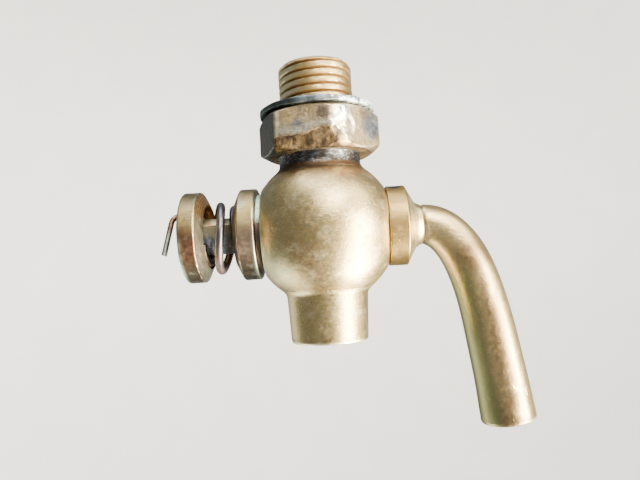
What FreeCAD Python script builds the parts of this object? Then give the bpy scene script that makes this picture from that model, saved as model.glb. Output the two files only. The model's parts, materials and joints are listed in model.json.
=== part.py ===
import FreeCAD, Part
import math
import os

from FreeCAD import Vector

# Radiator drain cock: a taper plug turned by a bent lever in a globe body.
# Millimetres. The origin is on the spigot's axis at the sealing ring's upper face,
# which is the plane that seats on the radiator boss. +Z runs up the threaded spigot
# and +X runs along the plug to the lever. The lever hangs down, which shuts the cock.

# Inlet end: screwed spigot, sealing ring and hexagon
THREAD_DIAMETER = 13.157
THREAD_PITCH = 1.337
THREAD_ANGLE = 55.0
THREAD_CREST = 0.55
THREAD_ROOT = 0.12
THREAD_FIRST_GROOVE = 1.6
THREAD_RELIEF_STEP = 0.25
SPIGOT_LENGTH = 7.9
SPIGOT_CHAMFER = 0.7
RING_DIAMETER = 20.5
RING_THICKNESS = 1.0
RING_EDGE = 0.2
RING_FIT = 0.15
HEX_ACROSS_FLATS = 19.05
HEX_HEIGHT = 7.4
HEX_TURN = 21.0
HEX_FACE_DIAMETER = 18.0
HEX_CHAMFER_ANGLE = 30.0
NECK_DIAMETER = 14.4
NECK_LENGTH = 2.2

# Globe and outlet spout
GLOBE_DIAMETER = 26.0
SPRING_BOSS_DIAMETER = 14.0
SPRING_BOSS_HEIGHT = 0.9
SPRING_FLAT_LAND = 0.8
LEVER_FLAT_LAND = 0.785
SPOUT_REACH = 19.5
SPOUT_ROOT_DIAMETER = 14.3
SPOUT_TIP_DIAMETER = 13.4
SPOUT_EDGE = 0.5
BODY_FILLET = 0.7

# Waterway
INLET_BORE = 7.0
INLET_BORE_DEPTH = 21.0
OUTLET_BORE = 9.0
OUTLET_BORE_DEPTH = 8.5
THROAT = 6.2
PLUG_PORT = 6.0

# Taper plug and its head
PLUG_LARGE_DIAMETER = 12.6
PLUG_TAPER = 0.155
PLUG_PROUD = 0.6
SEAT_CLEARANCE = 0.05
COLLAR_STEP = 0.7
COLLAR_THICKNESS = 3.2
COLLAR_GAP = 0.28
COLLAR_EDGE = 0.25
HEAD_CONE_LENGTH = 1.4
HEAD_CONE_TIP_DIAMETER = 9.0
HEAD_NECK_LENGTH = 1.4
HEAD_WAIST_DIAMETER = 7.5
STEM_DIAMETER = 6.4
STEM_FLATS = 5.2
STEM_CHAMFER = 0.4

# Bent lever, brazed into the plug's head
LEVER_ROOT_DIAMETER = 6.9
TENON_DIAMETER = 4.4
TENON_LENGTH = 4.0
BRAZE_GAP = 0.05
LEVER_SHOULDER_DIAMETER = 7.6
LEVER_TIP_DIAMETER = 9.4
LEVER_LENGTH = 39.2
LEVER_DROP_ANGLE = 83.1
LEVER_BEND_LENGTH = 6.65
LEVER_EDGE = 0.6
LEVER_SECTIONS = 9
LEVER_SECTION_CROWDING = 1.5
LEVER_STEPS = 200

# Spring cups, a pair of the same turned piece
CUP_DIAMETER = 16.1
CUP_BAND = 2.85
CUP_CONE = 1.15
CUP_MOUTH = 11.4
CUP_SEAT_DEPTH = 1.3
CUP_BACK_BORE = 12.4
CUP_BACK_DEPTH = 1.5
CUP_GAP = 0.05
STEM_FIT = 0.08

# Barrel spring between the cups
SPRING_WIRE = 1.45
SPRING_LENGTH = 7.45
SPRING_SEAT_FIT = 0.4
SPRING_MIDDLE_DIAMETER = 13.9
SPRING_TURNS = 2.35
SPRING_START_TURN = -0.7
SPRING_END_CLOSING = 0.2
SPRING_BARREL_POWER = 4
SPRING_SEAT_GAP = 0.03

# Split pin through the stem's end
PIN_DIAMETER = 1.0
PIN_HOLE_FIT = 0.1
PIN_SEAT_GAP = 0.02
PIN_END_WALL = 0.7
PIN_EYE_DIAMETER = 3.0
PIN_EYE_STAND = 0.2
PIN_LEG_GAP = 0.04
PIN_LEG_STAND = 1.3
PIN_BEND_RADIUS = 1.2
PIN_LONG_LEG_SPREAD = 45.0
PIN_LONG_LEG_REACH = 4.1
PIN_LONG_LEG_DROOP = 1.0
PIN_LONG_LEG_FALL = 6.5
PIN_LONG_LEG_FLARE = 1.95
PIN_SHORT_LEG_REACH = 3.0
PIN_SHORT_LEG_DROOP = 0.8

# Length by which a cutting tool runs past the face that it opens
RUN_OUT = 1.0
# Height by which the thread's cutter stands proud of the crests
CUTTER_PROUD = 0.05
# Share of a straight run that one rounded corner may take
CORNER_SHARE = 0.45
# Closeness within which two measured places are the same
SAME_PLACE = 1e-4

X_AXIS = Vector(1, 0, 0)
Y_AXIS = Vector(0, 1, 0)
Z_AXIS = Vector(0, 0, 1)
WHOLE_TURN = 360.0
HALF_HEX_SIDE = 30.0

# Radii and depths of the spigot
THREAD_RADIUS = THREAD_DIAMETER / 2
THREAD_SLOPE = math.tan(math.radians(THREAD_ANGLE / 2))
THREAD_DEPTH = (THREAD_PITCH - THREAD_CREST - THREAD_ROOT) / 2 / THREAD_SLOPE
RELIEF_RADIUS = THREAD_RADIUS - THREAD_DEPTH - THREAD_RELIEF_STEP

# Places along the spigot's axis
HEX_TOP_Z = -RING_THICKNESS
HEX_BOTTOM_Z = HEX_TOP_Z - HEX_HEIGHT
GLOBE_RADIUS = GLOBE_DIAMETER / 2
NECK_RADIUS = NECK_DIAMETER / 2
NECK_FOOT_Z = HEX_BOTTOM_Z - NECK_LENGTH
PLUG_Z = NECK_FOOT_Z - math.sqrt(GLOBE_RADIUS ** 2 - NECK_RADIUS ** 2)
SPOUT_TIP_Z = PLUG_Z - SPOUT_REACH

# Places along the plug's axis
LEVER_FLAT_RADIUS = PLUG_LARGE_DIAMETER / 2 + LEVER_FLAT_LAND
LEVER_SIDE_FLAT = math.sqrt(GLOBE_RADIUS ** 2 - LEVER_FLAT_RADIUS ** 2)
SPRING_FLAT_RADIUS = SPRING_BOSS_DIAMETER / 2 + SPRING_FLAT_LAND
SPRING_SIDE_FLAT = math.sqrt(GLOBE_RADIUS ** 2 - SPRING_FLAT_RADIUS ** 2)
COLLAR_X = LEVER_SIDE_FLAT + COLLAR_GAP
HEAD_CONE_X = COLLAR_X + COLLAR_THICKNESS
HEAD_NECK_X = HEAD_CONE_X + HEAD_CONE_LENGTH
LEVER_X = HEAD_NECK_X + HEAD_NECK_LENGTH
SPRING_BOSS_X = -SPRING_SIDE_FLAT - SPRING_BOSS_HEIGHT
PLUG_SMALL_X = SPRING_BOSS_X - PLUG_PROUD
CUP_LENGTH = CUP_BAND + CUP_CONE
CUP_WEB = CUP_LENGTH - CUP_SEAT_DEPTH - CUP_BACK_DEPTH
INNER_CUP_BACK_X = SPRING_BOSS_X - CUP_GAP
INNER_SEAT_X = INNER_CUP_BACK_X - CUP_BACK_DEPTH - CUP_WEB
OUTER_SEAT_X = INNER_SEAT_X - SPRING_LENGTH
OUTER_WEB_X = OUTER_SEAT_X - CUP_WEB
OUTER_CUP_BACK_X = OUTER_WEB_X - CUP_BACK_DEPTH
PIN_HOLE = PIN_DIAMETER + 2 * PIN_HOLE_FIT
PIN_X = OUTER_WEB_X - PIN_SEAT_GAP - PIN_DIAMETER / 2
STEM_END_X = PIN_X - PIN_HOLE / 2 - PIN_END_WALL

def plug_radius(x):
    return PLUG_LARGE_DIAMETER / 2 - (LEVER_SIDE_FLAT - x) * PLUG_TAPER / 2


def turned(outline, axis):
    """Solid of revolution about Z, or about the plug's axis, from (radius, along) points."""
    if axis == "Z":
        points = [Vector(radius, 0, along) for radius, along in outline]
        wire = Part.makePolygon(points + points[:1])
        return Part.Face(wire).revolve(Vector(), Z_AXIS, WHOLE_TURN)
    points = [Vector(along, 0, PLUG_Z + radius) for radius, along in outline]
    wire = Part.makePolygon(points + points[:1])
    return Part.Face(wire).revolve(Vector(0, 0, PLUG_Z), X_AXIS, WHOLE_TURN)


def ring_edges(shape, radius, along, axis):
    """Full circles of one radius at one place along Z or along the plug's axis."""
    found = []
    for edge in shape.Edges:
        curve = edge.Curve
        if not isinstance(curve, Part.Circle) or abs(curve.Radius - radius) > SAME_PLACE:
            continue
        place = curve.Center.z if axis == "Z" else curve.Center.x
        if abs(place - along) < SAME_PLACE:
            found.append(edge)
    return found


def chamfered_hexagon():
    """Hexagon whose corners are turned back to a round face at each end."""
    corner = HEX_ACROSS_FLATS / 2 / math.cos(math.radians(HALF_HEX_SIDE))
    points = []
    for number in range(6):
        angle = math.radians((2 * number + 1) * HALF_HEX_SIDE + HEX_TURN)
        points.append(Vector(corner * math.cos(angle), corner * math.sin(angle), HEX_BOTTOM_Z))
    bar = Part.Face(Part.makePolygon(points + points[:1])).extrude(Vector(0, 0, HEX_HEIGHT))
    face = HEX_FACE_DIAMETER / 2
    drop = (corner - face) * math.tan(math.radians(HEX_CHAMFER_ANGLE))
    turning = turned([
        (0, HEX_BOTTOM_Z),
        (face, HEX_BOTTOM_Z),
        (corner, HEX_BOTTOM_Z + drop),
        (corner, HEX_TOP_Z - drop),
        (face, HEX_TOP_Z),
        (0, HEX_TOP_Z),
    ], "Z")
    return bar.common(turning)


def globe_and_spout():
    """Neck, globe and spout turned in one outline, with the globe as a true arc."""
    spout_radius = SPOUT_ROOT_DIAMETER / 2
    tip_radius = SPOUT_TIP_DIAMETER / 2
    spout_root_z = PLUG_Z - math.sqrt(GLOBE_RADIUS ** 2 - spout_radius ** 2)
    tip_edge = (tip_radius - SPOUT_EDGE, SPOUT_TIP_Z)
    tip_side = (tip_radius, SPOUT_TIP_Z + SPOUT_EDGE)
    lower = [
        Vector(0, 0, SPOUT_TIP_Z),
        Vector(tip_edge[0], 0, tip_edge[1]),
        Vector(tip_side[0], 0, tip_side[1]),
        Vector(spout_radius, 0, spout_root_z),
    ]
    globe = Part.Arc(
        lower[-1], Vector(GLOBE_RADIUS, 0, PLUG_Z), Vector(NECK_RADIUS, 0, NECK_FOOT_Z))
    upper = [
        Vector(NECK_RADIUS, 0, NECK_FOOT_Z),
        Vector(NECK_RADIUS, 0, HEX_BOTTOM_Z),
        Vector(0, 0, HEX_BOTTOM_Z),
        lower[0],
    ]
    edges = Part.makePolygon(lower).Edges + [globe.toShape()] + Part.makePolygon(upper).Edges
    solid = Part.Face(Part.Wire(edges)).revolve(Vector(), Z_AXIS, WHOLE_TURN)
    fillet = min(BODY_FILLET, NECK_LENGTH / 2)
    corners = ring_edges(solid, spout_radius, spout_root_z, "Z")
    corners += ring_edges(solid, NECK_RADIUS, NECK_FOOT_Z, "Z")
    return solid.makeFillet(fillet, corners)


def thread_groove(middle):
    """Cutter for one groove of the thread, by the height of the groove's middle."""
    root = THREAD_RADIUS - THREAD_DEPTH
    crest = THREAD_RADIUS + CUTTER_PROUD
    half_root = THREAD_ROOT / 2
    half_mouth = half_root + (crest - root) * THREAD_SLOPE
    return turned([
        (root, middle - half_root),
        (crest, middle - half_mouth),
        (crest, middle + half_mouth),
        (root, middle + half_root),
    ], "Z")


def threaded_spigot():
    """Spigot with its thread in simplified form, and a run-out groove behind the ring.

    Each groove has the thread's pitch and section but closes on itself and doesn't climb.
    """
    blank = turned([
        (0, HEX_TOP_Z),
        (RELIEF_RADIUS, HEX_TOP_Z),
        (RELIEF_RADIUS, 0),
        (THREAD_RADIUS, 0),
        (THREAD_RADIUS, SPIGOT_LENGTH - SPIGOT_CHAMFER),
        (THREAD_RADIUS - SPIGOT_CHAMFER, SPIGOT_LENGTH),
        (0, SPIGOT_LENGTH),
    ], "Z")
    count = math.ceil((SPIGOT_LENGTH - THREAD_FIRST_GROOVE) / THREAD_PITCH)
    grooves = [THREAD_FIRST_GROOVE + number * THREAD_PITCH for number in range(count)]
    return blank.cut([thread_groove(middle) for middle in grooves])


def taper_seat():
    """Bore that the plug is ground into, open at the boss and at the lever side's flat."""
    left = SPRING_BOSS_X - RUN_OUT
    right = LEVER_SIDE_FLAT + RUN_OUT
    return Part.makeCone(
        plug_radius(left) + SEAT_CLEARANCE,
        plug_radius(right) + SEAT_CLEARANCE,
        right - left,
        Vector(left, 0, PLUG_Z),
        X_AXIS)


def body_casting():
    solid = globe_and_spout()
    block = Part.makeBox(
        SPRING_SIDE_FLAT + LEVER_SIDE_FLAT,
        2 * GLOBE_DIAMETER,
        HEX_BOTTOM_Z - SPOUT_TIP_Z + 2 * RUN_OUT,
        Vector(-SPRING_SIDE_FLAT, -GLOBE_DIAMETER, SPOUT_TIP_Z - RUN_OUT))
    solid = solid.common(block)
    boss = Part.makeCylinder(
        SPRING_BOSS_DIAMETER / 2, -SPRING_BOSS_X, Vector(SPRING_BOSS_X, 0, PLUG_Z), X_AXIS)
    solid = solid.fuse([boss, chamfered_hexagon(), threaded_spigot()]).removeSplitter()
    start = SPOUT_TIP_Z - RUN_OUT
    finish = SPIGOT_LENGTH + RUN_OUT
    inlet_foot = SPIGOT_LENGTH - INLET_BORE_DEPTH
    throat = Part.makeCylinder(THROAT / 2, finish - start, Vector(0, 0, start))
    inlet = Part.makeCylinder(INLET_BORE / 2, finish - inlet_foot, Vector(0, 0, inlet_foot))
    outlet = Part.makeCylinder(OUTLET_BORE / 2, OUTLET_BORE_DEPTH + RUN_OUT, Vector(0, 0, start))
    return solid.cut([taper_seat(), throat, inlet, outlet])


def sealing_ring():
    outer = RING_DIAMETER / 2
    inner = THREAD_RADIUS + RING_FIT
    return turned([
        (inner, HEX_TOP_Z),
        (outer - RING_EDGE, HEX_TOP_Z),
        (outer, HEX_TOP_Z + RING_EDGE),
        (outer, -RING_EDGE),
        (outer - RING_EDGE, 0),
        (inner, 0),
    ], "Z")


def double_d(diameter, flats, left, right):
    """Round bar along the plug's axis with a flat milled on its near and far side."""
    bar = Part.makeCylinder(diameter / 2, right - left, Vector(left, 0, PLUG_Z), X_AXIS)
    slab = Part.makeBox(
        right - left, flats, diameter, Vector(left, -flats / 2, PLUG_Z - diameter / 2))
    return bar.common(slab)


def plug_head():
    """Collar, cone and waisted neck, with the socket for the lever's tenon."""
    collar = PLUG_LARGE_DIAMETER / 2 + COLLAR_STEP
    cone_tip = HEAD_CONE_TIP_DIAMETER / 2
    root = LEVER_ROOT_DIAMETER / 2
    socket = TENON_DIAMETER / 2 + BRAZE_GAP
    waist = Part.Arc(
        Vector(HEAD_NECK_X, 0, PLUG_Z + cone_tip),
        Vector((HEAD_NECK_X + LEVER_X) / 2, 0, PLUG_Z + HEAD_WAIST_DIAMETER / 2),
        Vector(LEVER_X, 0, PLUG_Z + root))
    outline = [
        (0, LEVER_SIDE_FLAT),
        (plug_radius(LEVER_SIDE_FLAT), LEVER_SIDE_FLAT),
        (plug_radius(LEVER_SIDE_FLAT), COLLAR_X),
        (collar - COLLAR_EDGE, COLLAR_X),
        (collar, COLLAR_X + COLLAR_EDGE),
        (collar, HEAD_CONE_X),
        (cone_tip, HEAD_NECK_X),
    ]
    before = [Vector(along, 0, PLUG_Z + radius) for radius, along in outline]
    after = [Vector(LEVER_X, 0, PLUG_Z + root), Vector(LEVER_X, 0, PLUG_Z), before[0]]
    edges = Part.makePolygon(before).Edges + [waist.toShape()] + Part.makePolygon(after).Edges
    solid = Part.Face(Part.Wire(edges)).revolve(Vector(0, 0, PLUG_Z), X_AXIS, WHOLE_TURN)
    depth = TENON_LENGTH + BRAZE_GAP
    return solid.cut(Part.makeCylinder(socket, depth, Vector(LEVER_X - depth, 0, PLUG_Z), X_AXIS))


def taper_plug():
    taper = Part.makeCone(
        plug_radius(PLUG_SMALL_X),
        plug_radius(LEVER_SIDE_FLAT),
        LEVER_SIDE_FLAT - PLUG_SMALL_X,
        Vector(PLUG_SMALL_X, 0, PLUG_Z),
        X_AXIS)
    stem = double_d(STEM_DIAMETER, STEM_FLATS, STEM_END_X, PLUG_SMALL_X)
    radius = STEM_DIAMETER / 2
    point = turned([
        (0, STEM_END_X),
        (radius - STEM_CHAMFER, STEM_END_X),
        (radius, STEM_END_X + STEM_CHAMFER),
        (radius, PLUG_SMALL_X),
        (0, PLUG_SMALL_X),
    ], "X")
    solid = taper.fuse([plug_head(), stem.common(point)]).removeSplitter()
    reach = PLUG_LARGE_DIAMETER
    port = Part.makeCylinder(PLUG_PORT / 2, 2 * reach, Vector(0, -reach, PLUG_Z), Y_AXIS)
    pin_hole = Part.makeCylinder(
        PIN_HOLE / 2, 2 * STEM_DIAMETER, Vector(PIN_X, 0, PLUG_Z - STEM_DIAMETER), Z_AXIS)
    return solid.cut([port, pin_hole])


def lever_station(along):
    """Point, heading below +X in degrees and diameter at a length down the lever's axis.

    The bend is tightest at the plug and eases out, so the heading closes on its final
    value exponentially.
    """
    x = LEVER_X
    z = PLUG_Z
    run = along / LEVER_STEPS
    for step in range(LEVER_STEPS):
        middle = (step + 0.5) * run
        slope = math.radians(LEVER_DROP_ANGLE) * (1 - math.exp(-middle / LEVER_BEND_LENGTH))
        x += math.cos(slope) * run
        z -= math.sin(slope) * run
    bent = 1 - math.exp(-along / LEVER_BEND_LENGTH)
    shoulder = (LEVER_SHOULDER_DIAMETER - LEVER_ROOT_DIAMETER) * bent
    growth = (LEVER_TIP_DIAMETER - LEVER_SHOULDER_DIAMETER) * along / LEVER_LENGTH
    return Vector(x, 0, z), LEVER_DROP_ANGLE * bent, LEVER_ROOT_DIAMETER + shoulder + growth


def lever_section(along, inset):
    point, heading, diameter = lever_station(along)
    section = Part.Wire(Part.makeCircle(diameter / 2 - inset, Vector(), X_AXIS))
    section.rotate(Vector(), Y_AXIS, heading)
    section.translate(point)
    return section


def lever():
    """Tapered round bar lofted down its bent axis, with a broken end edge and a tenon."""
    shank = LEVER_LENGTH - LEVER_EDGE
    shares = [number / LEVER_SECTIONS for number in range(LEVER_SECTIONS + 1)]
    sections = [lever_section(shank * share ** LEVER_SECTION_CROWDING, 0) for share in shares]
    bar = Part.makeLoft(sections, True, False)
    tip = Part.makeLoft(
        [lever_section(shank, 0), lever_section(LEVER_LENGTH, LEVER_EDGE)], True, True)
    tenon = Part.makeCylinder(
        TENON_DIAMETER / 2, TENON_LENGTH, Vector(LEVER_X - TENON_LENGTH, 0, PLUG_Z), X_AXIS)
    return bar.fuse([tip, tenon])


def spring_cup(seat_x, mouth_side):
    """Cup with a bored spring seat on its coned side and a wider recess at its back.

    mouth_side is -1 when the spring lies towards -X of the cup, +1 towards +X.
    """
    radius = CUP_DIAMETER / 2
    mouth = CUP_MOUTH / 2
    mouth_x = CUP_SEAT_DEPTH
    band_x = mouth_x - CUP_CONE
    back_x = mouth_x - CUP_LENGTH
    web_x = -CUP_WEB
    outline = [
        (0, 0),
        (mouth, 0),
        (mouth, mouth_x),
        (radius, band_x),
        (radius, back_x),
        (CUP_BACK_BORE / 2, back_x),
        (CUP_BACK_BORE / 2, web_x),
        (0, web_x),
    ]
    solid = turned([(r, seat_x + mouth_side * along) for r, along in outline], "X")
    hole = double_d(
        STEM_DIAMETER + 2 * STEM_FIT,
        STEM_FLATS + 2 * STEM_FIT,
        seat_x - CUP_LENGTH,
        seat_x + CUP_LENGTH)
    return solid.cut(hole)


def spring_station(turn):
    """Point on the spring's wire at the top or bottom of the coil, by the turns from the top."""
    first = OUTER_SEAT_X + SPRING_WIRE / 2 + SPRING_SEAT_GAP
    last = INNER_SEAT_X - SPRING_WIRE / 2 - SPRING_SEAT_GAP
    share = min(max((turn - SPRING_START_TURN) / SPRING_TURNS, 0.0), 1.0)
    closing = SPRING_END_CLOSING * math.sin(2 * math.pi * share) / (2 * math.pi)
    swell = math.sin(math.pi * share) ** SPRING_BARREL_POWER
    end_radius = (CUP_MOUTH - SPRING_WIRE) / 2 - SPRING_SEAT_FIT
    middle_radius = (SPRING_MIDDLE_DIAMETER - SPRING_WIRE) / 2
    radius = end_radius + (middle_radius - end_radius) * swell
    up = 1 if int(round(2 * turn)) % 2 == 0 else -1
    return Vector(first + (last - first) * (share - closing), 0, PLUG_Z + up * radius), up


def spring():
    """Barrel spring of tangent half turns, each leaning over to the next one's start."""
    end_turn = SPRING_START_TURN + SPRING_TURNS
    arcs = []
    for half in range(math.floor(2 * SPRING_START_TURN), math.ceil(2 * end_turn)):
        start, up = spring_station(half / 2)
        finish = spring_station(half / 2 + 0.5)[0]
        centre = (start + finish) / 2
        arm = start - centre
        side = Y_AXIS * (-up * arm.Length)
        enters = max(SPRING_START_TURN - half / 2, 0.0)
        leaves = min(end_turn - half / 2, 0.5)
        ends = []
        for share in (enters, (enters + leaves) / 2, leaves):
            angle = 2 * math.pi * share
            ends.append(centre + arm * math.cos(angle) + side * math.sin(angle))
        arcs.append(Part.Arc(*ends))
    path = Part.Wire([arc.toShape() for arc in arcs])
    first = arcs[0]
    section = Part.makeCircle(
        SPRING_WIRE / 2, first.value(first.FirstParameter), first.tangent(first.FirstParameter)[0])
    return Part.makeSolid(path.makePipe(Part.Face(Part.Wire(section))))


def rounded_path(points, radius):
    """Straight runs joined by tangent arcs of one radius, or less on a short run."""
    edges = []
    start = points[0]
    for before, corner, after in zip(points, points[1:], points[2:]):
        arriving = (corner - before).normalize()
        leaving = (after - corner).normalize()
        turn = arriving.getAngle(leaving)
        room = CORNER_SHARE * min((corner - before).Length, (after - corner).Length)
        setback = min(radius * math.tan(turn / 2), room)
        arc_radius = setback / math.tan(turn / 2)
        enters = corner - arriving * setback
        leaves = corner + leaving * setback
        inwards = (leaving - arriving).normalize()
        middle = corner + inwards * (arc_radius / math.cos(turn / 2) - arc_radius)
        edges.append(Part.LineSegment(start, enters).toShape())
        edges.append(Part.Arc(enters, middle, leaves).toShape())
        start = leaves
    edges.append(Part.LineSegment(start, points[-1]).toShape())
    return Part.Wire(edges)


def split_pin():
    """Half-round wire folded at an eye below the stem, with both legs through the hole.

    The long leg is bent out over the stem's end and the short one round the stem.
    """
    radius = PIN_DIAMETER / 2
    apart = Y_AXIS * (PIN_LEG_GAP / 2)
    stem = STEM_DIAMETER / 2
    eye = (PIN_EYE_DIAMETER - PIN_DIAMETER) / 2
    crown = Vector(PIN_X, 0, PLUG_Z + stem + PIN_LEG_STAND)
    throat = Vector(PIN_X, 0, PLUG_Z - stem - PIN_EYE_STAND)
    spread = math.radians(PIN_LONG_LEG_SPREAD)
    outwards = Vector(-math.cos(spread), -math.sin(spread), 0)
    knee = crown + outwards * PIN_LONG_LEG_REACH - Z_AXIS * PIN_LONG_LEG_DROOP
    toe = knee + outwards * PIN_LONG_LEG_FLARE - Z_AXIS * PIN_LONG_LEG_FALL
    hook = crown + Y_AXIS * PIN_SHORT_LEG_REACH - Z_AXIS * PIN_SHORT_LEG_DROOP
    path = rounded_path([
        toe,
        knee,
        crown - apart,
        throat - apart,
        throat - Y_AXIS * eye - Z_AXIS * eye,
        throat - Z_AXIS * 2 * eye,
        throat + Y_AXIS * eye - Z_AXIS * eye,
        throat + apart,
        crown + apart,
        hook,
    ], PIN_BEND_RADIUS)
    return Part.makeSolid(path.makePipe(half_round_face(toe, (knee - toe).normalize())))


def half_round_face(centre, heading):
    """Half disc across a heading, round to the near side and flat along its diameter."""
    radius = PIN_DIAMETER / 2
    across = heading.cross(Y_AXIS).normalize()
    outwards = heading.cross(across).normalize()
    arc = Part.Arc(
        centre + across * radius, centre + outwards * radius, centre - across * radius)
    flat = Part.LineSegment(centre - across * radius, centre + across * radius)
    return Part.Face(Part.Wire([arc.toShape(), flat.toShape()]))


PARTS = {
    "body_casting": body_casting,
    "sealing_ring": sealing_ring,
    "taper_plug": taper_plug,
    "lever": lever,
    "inner_spring_cup": lambda: spring_cup(INNER_SEAT_X, -1),
    "outer_spring_cup": lambda: spring_cup(OUTER_SEAT_X, 1),
    "spring": spring,
    "split_pin": split_pin,
}

os.makedirs("parts", exist_ok=True)
for name, make in PARTS.items():
    shape = make()
    solids = shape.Solids
    piece = solids[0] if len(solids) == 1 else shape
    piece.exportStep(f"parts/{name}.step")
    box = piece.BoundBox
    print(f"{name:18s} solids {len(solids)} valid {piece.isValid()} volume {piece.Volume:9.2f}",
          f"x {box.XMin:.2f} {box.XMax:.2f} y {box.YMin:.2f} {box.YMax:.2f}",
          f"z {box.ZMin:.2f} {box.ZMax:.2f}")
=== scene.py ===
# %% [markdown]
# # A radiator drain cock
#
# The object is a small brass tap. A threaded spigot and a hexagon screw it into a radiator, a globe
# holds a taper plug across the waterway, and a bent lever turns the plug. A spring between two
# turned cups pulls the plug into its taper, and a split pin holds the outer cup on. The packed
# model fixes every size, so this lesson only dresses it: each piece is made again with its threads,
# wear and finish, where the model has it.

import json
import math

import bmesh
import bpy
import numpy as np
from mathutils import Matrix, Vector, noise


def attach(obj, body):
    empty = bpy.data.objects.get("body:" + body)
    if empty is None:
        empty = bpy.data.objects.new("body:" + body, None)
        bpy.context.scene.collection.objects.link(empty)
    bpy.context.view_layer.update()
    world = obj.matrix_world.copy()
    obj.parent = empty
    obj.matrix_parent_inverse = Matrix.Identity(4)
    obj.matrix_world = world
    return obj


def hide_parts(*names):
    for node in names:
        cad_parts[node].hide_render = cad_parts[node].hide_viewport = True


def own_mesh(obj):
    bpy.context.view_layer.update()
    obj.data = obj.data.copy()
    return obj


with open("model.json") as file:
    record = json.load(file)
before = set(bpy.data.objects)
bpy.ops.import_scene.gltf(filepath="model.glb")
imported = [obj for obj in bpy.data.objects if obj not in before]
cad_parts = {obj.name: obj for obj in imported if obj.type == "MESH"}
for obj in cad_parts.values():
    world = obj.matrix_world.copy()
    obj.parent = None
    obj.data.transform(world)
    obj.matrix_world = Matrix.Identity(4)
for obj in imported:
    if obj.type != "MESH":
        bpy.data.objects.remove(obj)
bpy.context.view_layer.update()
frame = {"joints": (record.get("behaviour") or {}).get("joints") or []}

# %% [markdown]
# ## Sizes
#
# All sizes here are in millimetres, measured along three axes that every piece shares: X runs along
# the plug to the lever, Z runs up the spigot, and Y runs away from the camera. Meshes are scaled to
# metres only when they are made, because small round numbers are easier to read and to check
# against the real tap.

# %% Shared sizes
MM = 0.001
plug_turn = next(joint for joint in frame["joints"] if joint["name"] == "plug_turn")
PLUG_Z = plug_turn["pos_m"][2] / MM
GLOBE_RADIUS = 12.998
SPRING_FLAT_X = -10.4
LEVER_FLAT_X = 10.9
HEX_TOP_Z = -1.0
HEX_BOTTOM_Z = -8.4
STEM_RADIUS = 3.2
STEM_HALF_FLATS = 2.6
print("plug axis at z", round(PLUG_Z, 3), "mm")

# %% [markdown]
# ## From points to pieces
#
# Almost every piece of a tap is turned on a lathe, so most meshes here are skins: rings of points
# with a band of faces between each ring and the next. A skin can be capped flat at both ends, or
# closed into a ring such as a washer. Normals are recalculated once the skin is closed, so that
# every face points outwards.

# %% Meshes from rings of points
def placed(name, data):
    """A new object in the scene, at the origin."""
    thing = bpy.data.objects.new(name, data)
    bpy.context.scene.collection.objects.link(thing)
    return thing


def new_piece(name, points, faces):
    """A mesh object from points in millimetres."""
    mesh = bpy.data.meshes.new(name)
    mesh.from_pydata((np.asarray(points, dtype=float) * MM).tolist(), [], faces)
    return placed(name, mesh)


def outward(piece):
    """Merge doubled points and turn every face outwards."""
    work = bmesh.new()
    work.from_mesh(piece.data)
    bmesh.ops.remove_doubles(work, verts=work.verts, dist=1e-8)
    bmesh.ops.recalc_face_normals(work, faces=work.faces)
    work.to_mesh(piece.data)
    work.free()
    return piece


def skin(name, rings, washer=False):
    """Bands of faces between rings of points, capped at both ends or closed into a washer."""
    rings = np.asarray(rings)
    count, around = rings.shape[:2]
    faces = []
    for row in range(count if washer else count - 1):
        low, high = row * around, (row + 1) % count * around
        for place in range(around):
            after = (place + 1) % around
            faces.append((low + place, low + after, high + after, high + place))
    if not washer:
        faces.append(tuple(range(around - 1, -1, -1)))
        faces.append(tuple((count - 1) * around + place for place in range(around)))
    return outward(new_piece(name, rings.reshape(-1, 3), faces))


# %% [markdown]
# A lathe leaves no knife edges, and worn brass has even softer ones. `eased` rounds each corner of
# an outline with a small curve of the radius that the corner states, and adds close points beside
# it, so that smooth shading stays flat on the flat faces and bends only at the edge.

# %% Outlines with eased corners
def rounded(enter, corner, leave, steps):
    """Points on a smooth curve from one place to another, drawn towards the corner between them."""
    return [(1 - share) ** 2 * enter + 2 * share * (1 - share) * corner + share ** 2 * leave
            for share in np.linspace(0, 1, steps + 1)]


def eased(outline, steps=4, closed=False):
    """Outline points (along, radius, ease) with each corner drawn as a short curve."""
    count = len(outline)
    result = []
    for number, corner in enumerate(outline):
        ease = corner[2] if len(corner) > 2 else 0.0
        middle = np.array(corner[:2], dtype=float)
        if ease == 0 or (not closed and number in (0, count - 1)):
            result.append(middle)
            continue
        before = np.array(outline[number - 1][:2], dtype=float) - middle
        after = np.array(outline[(number + 1) % count][:2], dtype=float) - middle
        enter = middle + before * min(ease / np.linalg.norm(before), 0.48)
        leave = middle + after * min(ease / np.linalg.norm(after), 0.48)
        result.append(middle + (enter - middle) * 1.15)
        result.extend(rounded(enter, middle, leave, steps))
        result.append(middle + (leave - middle) * 1.15)
    return np.array(result)


def stepped(outline, step):
    """The same outline with extra points, so that no run is longer than a step."""
    result = [outline[0]]
    for before, after in zip(outline, outline[1:]):
        parts = max(1, int(math.ceil(np.linalg.norm(after - before) / step)))
        result.extend(before + (after - before) * (part + 1) / parts for part in range(parts))
    return np.array(result)


# %% [markdown]
# `turned` spins an outline round the plug's axis or round the spigot's axis. An optional form
# changes the radius round the turn, which is how a stem gets its two flats without leaving the
# lathe.

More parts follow.
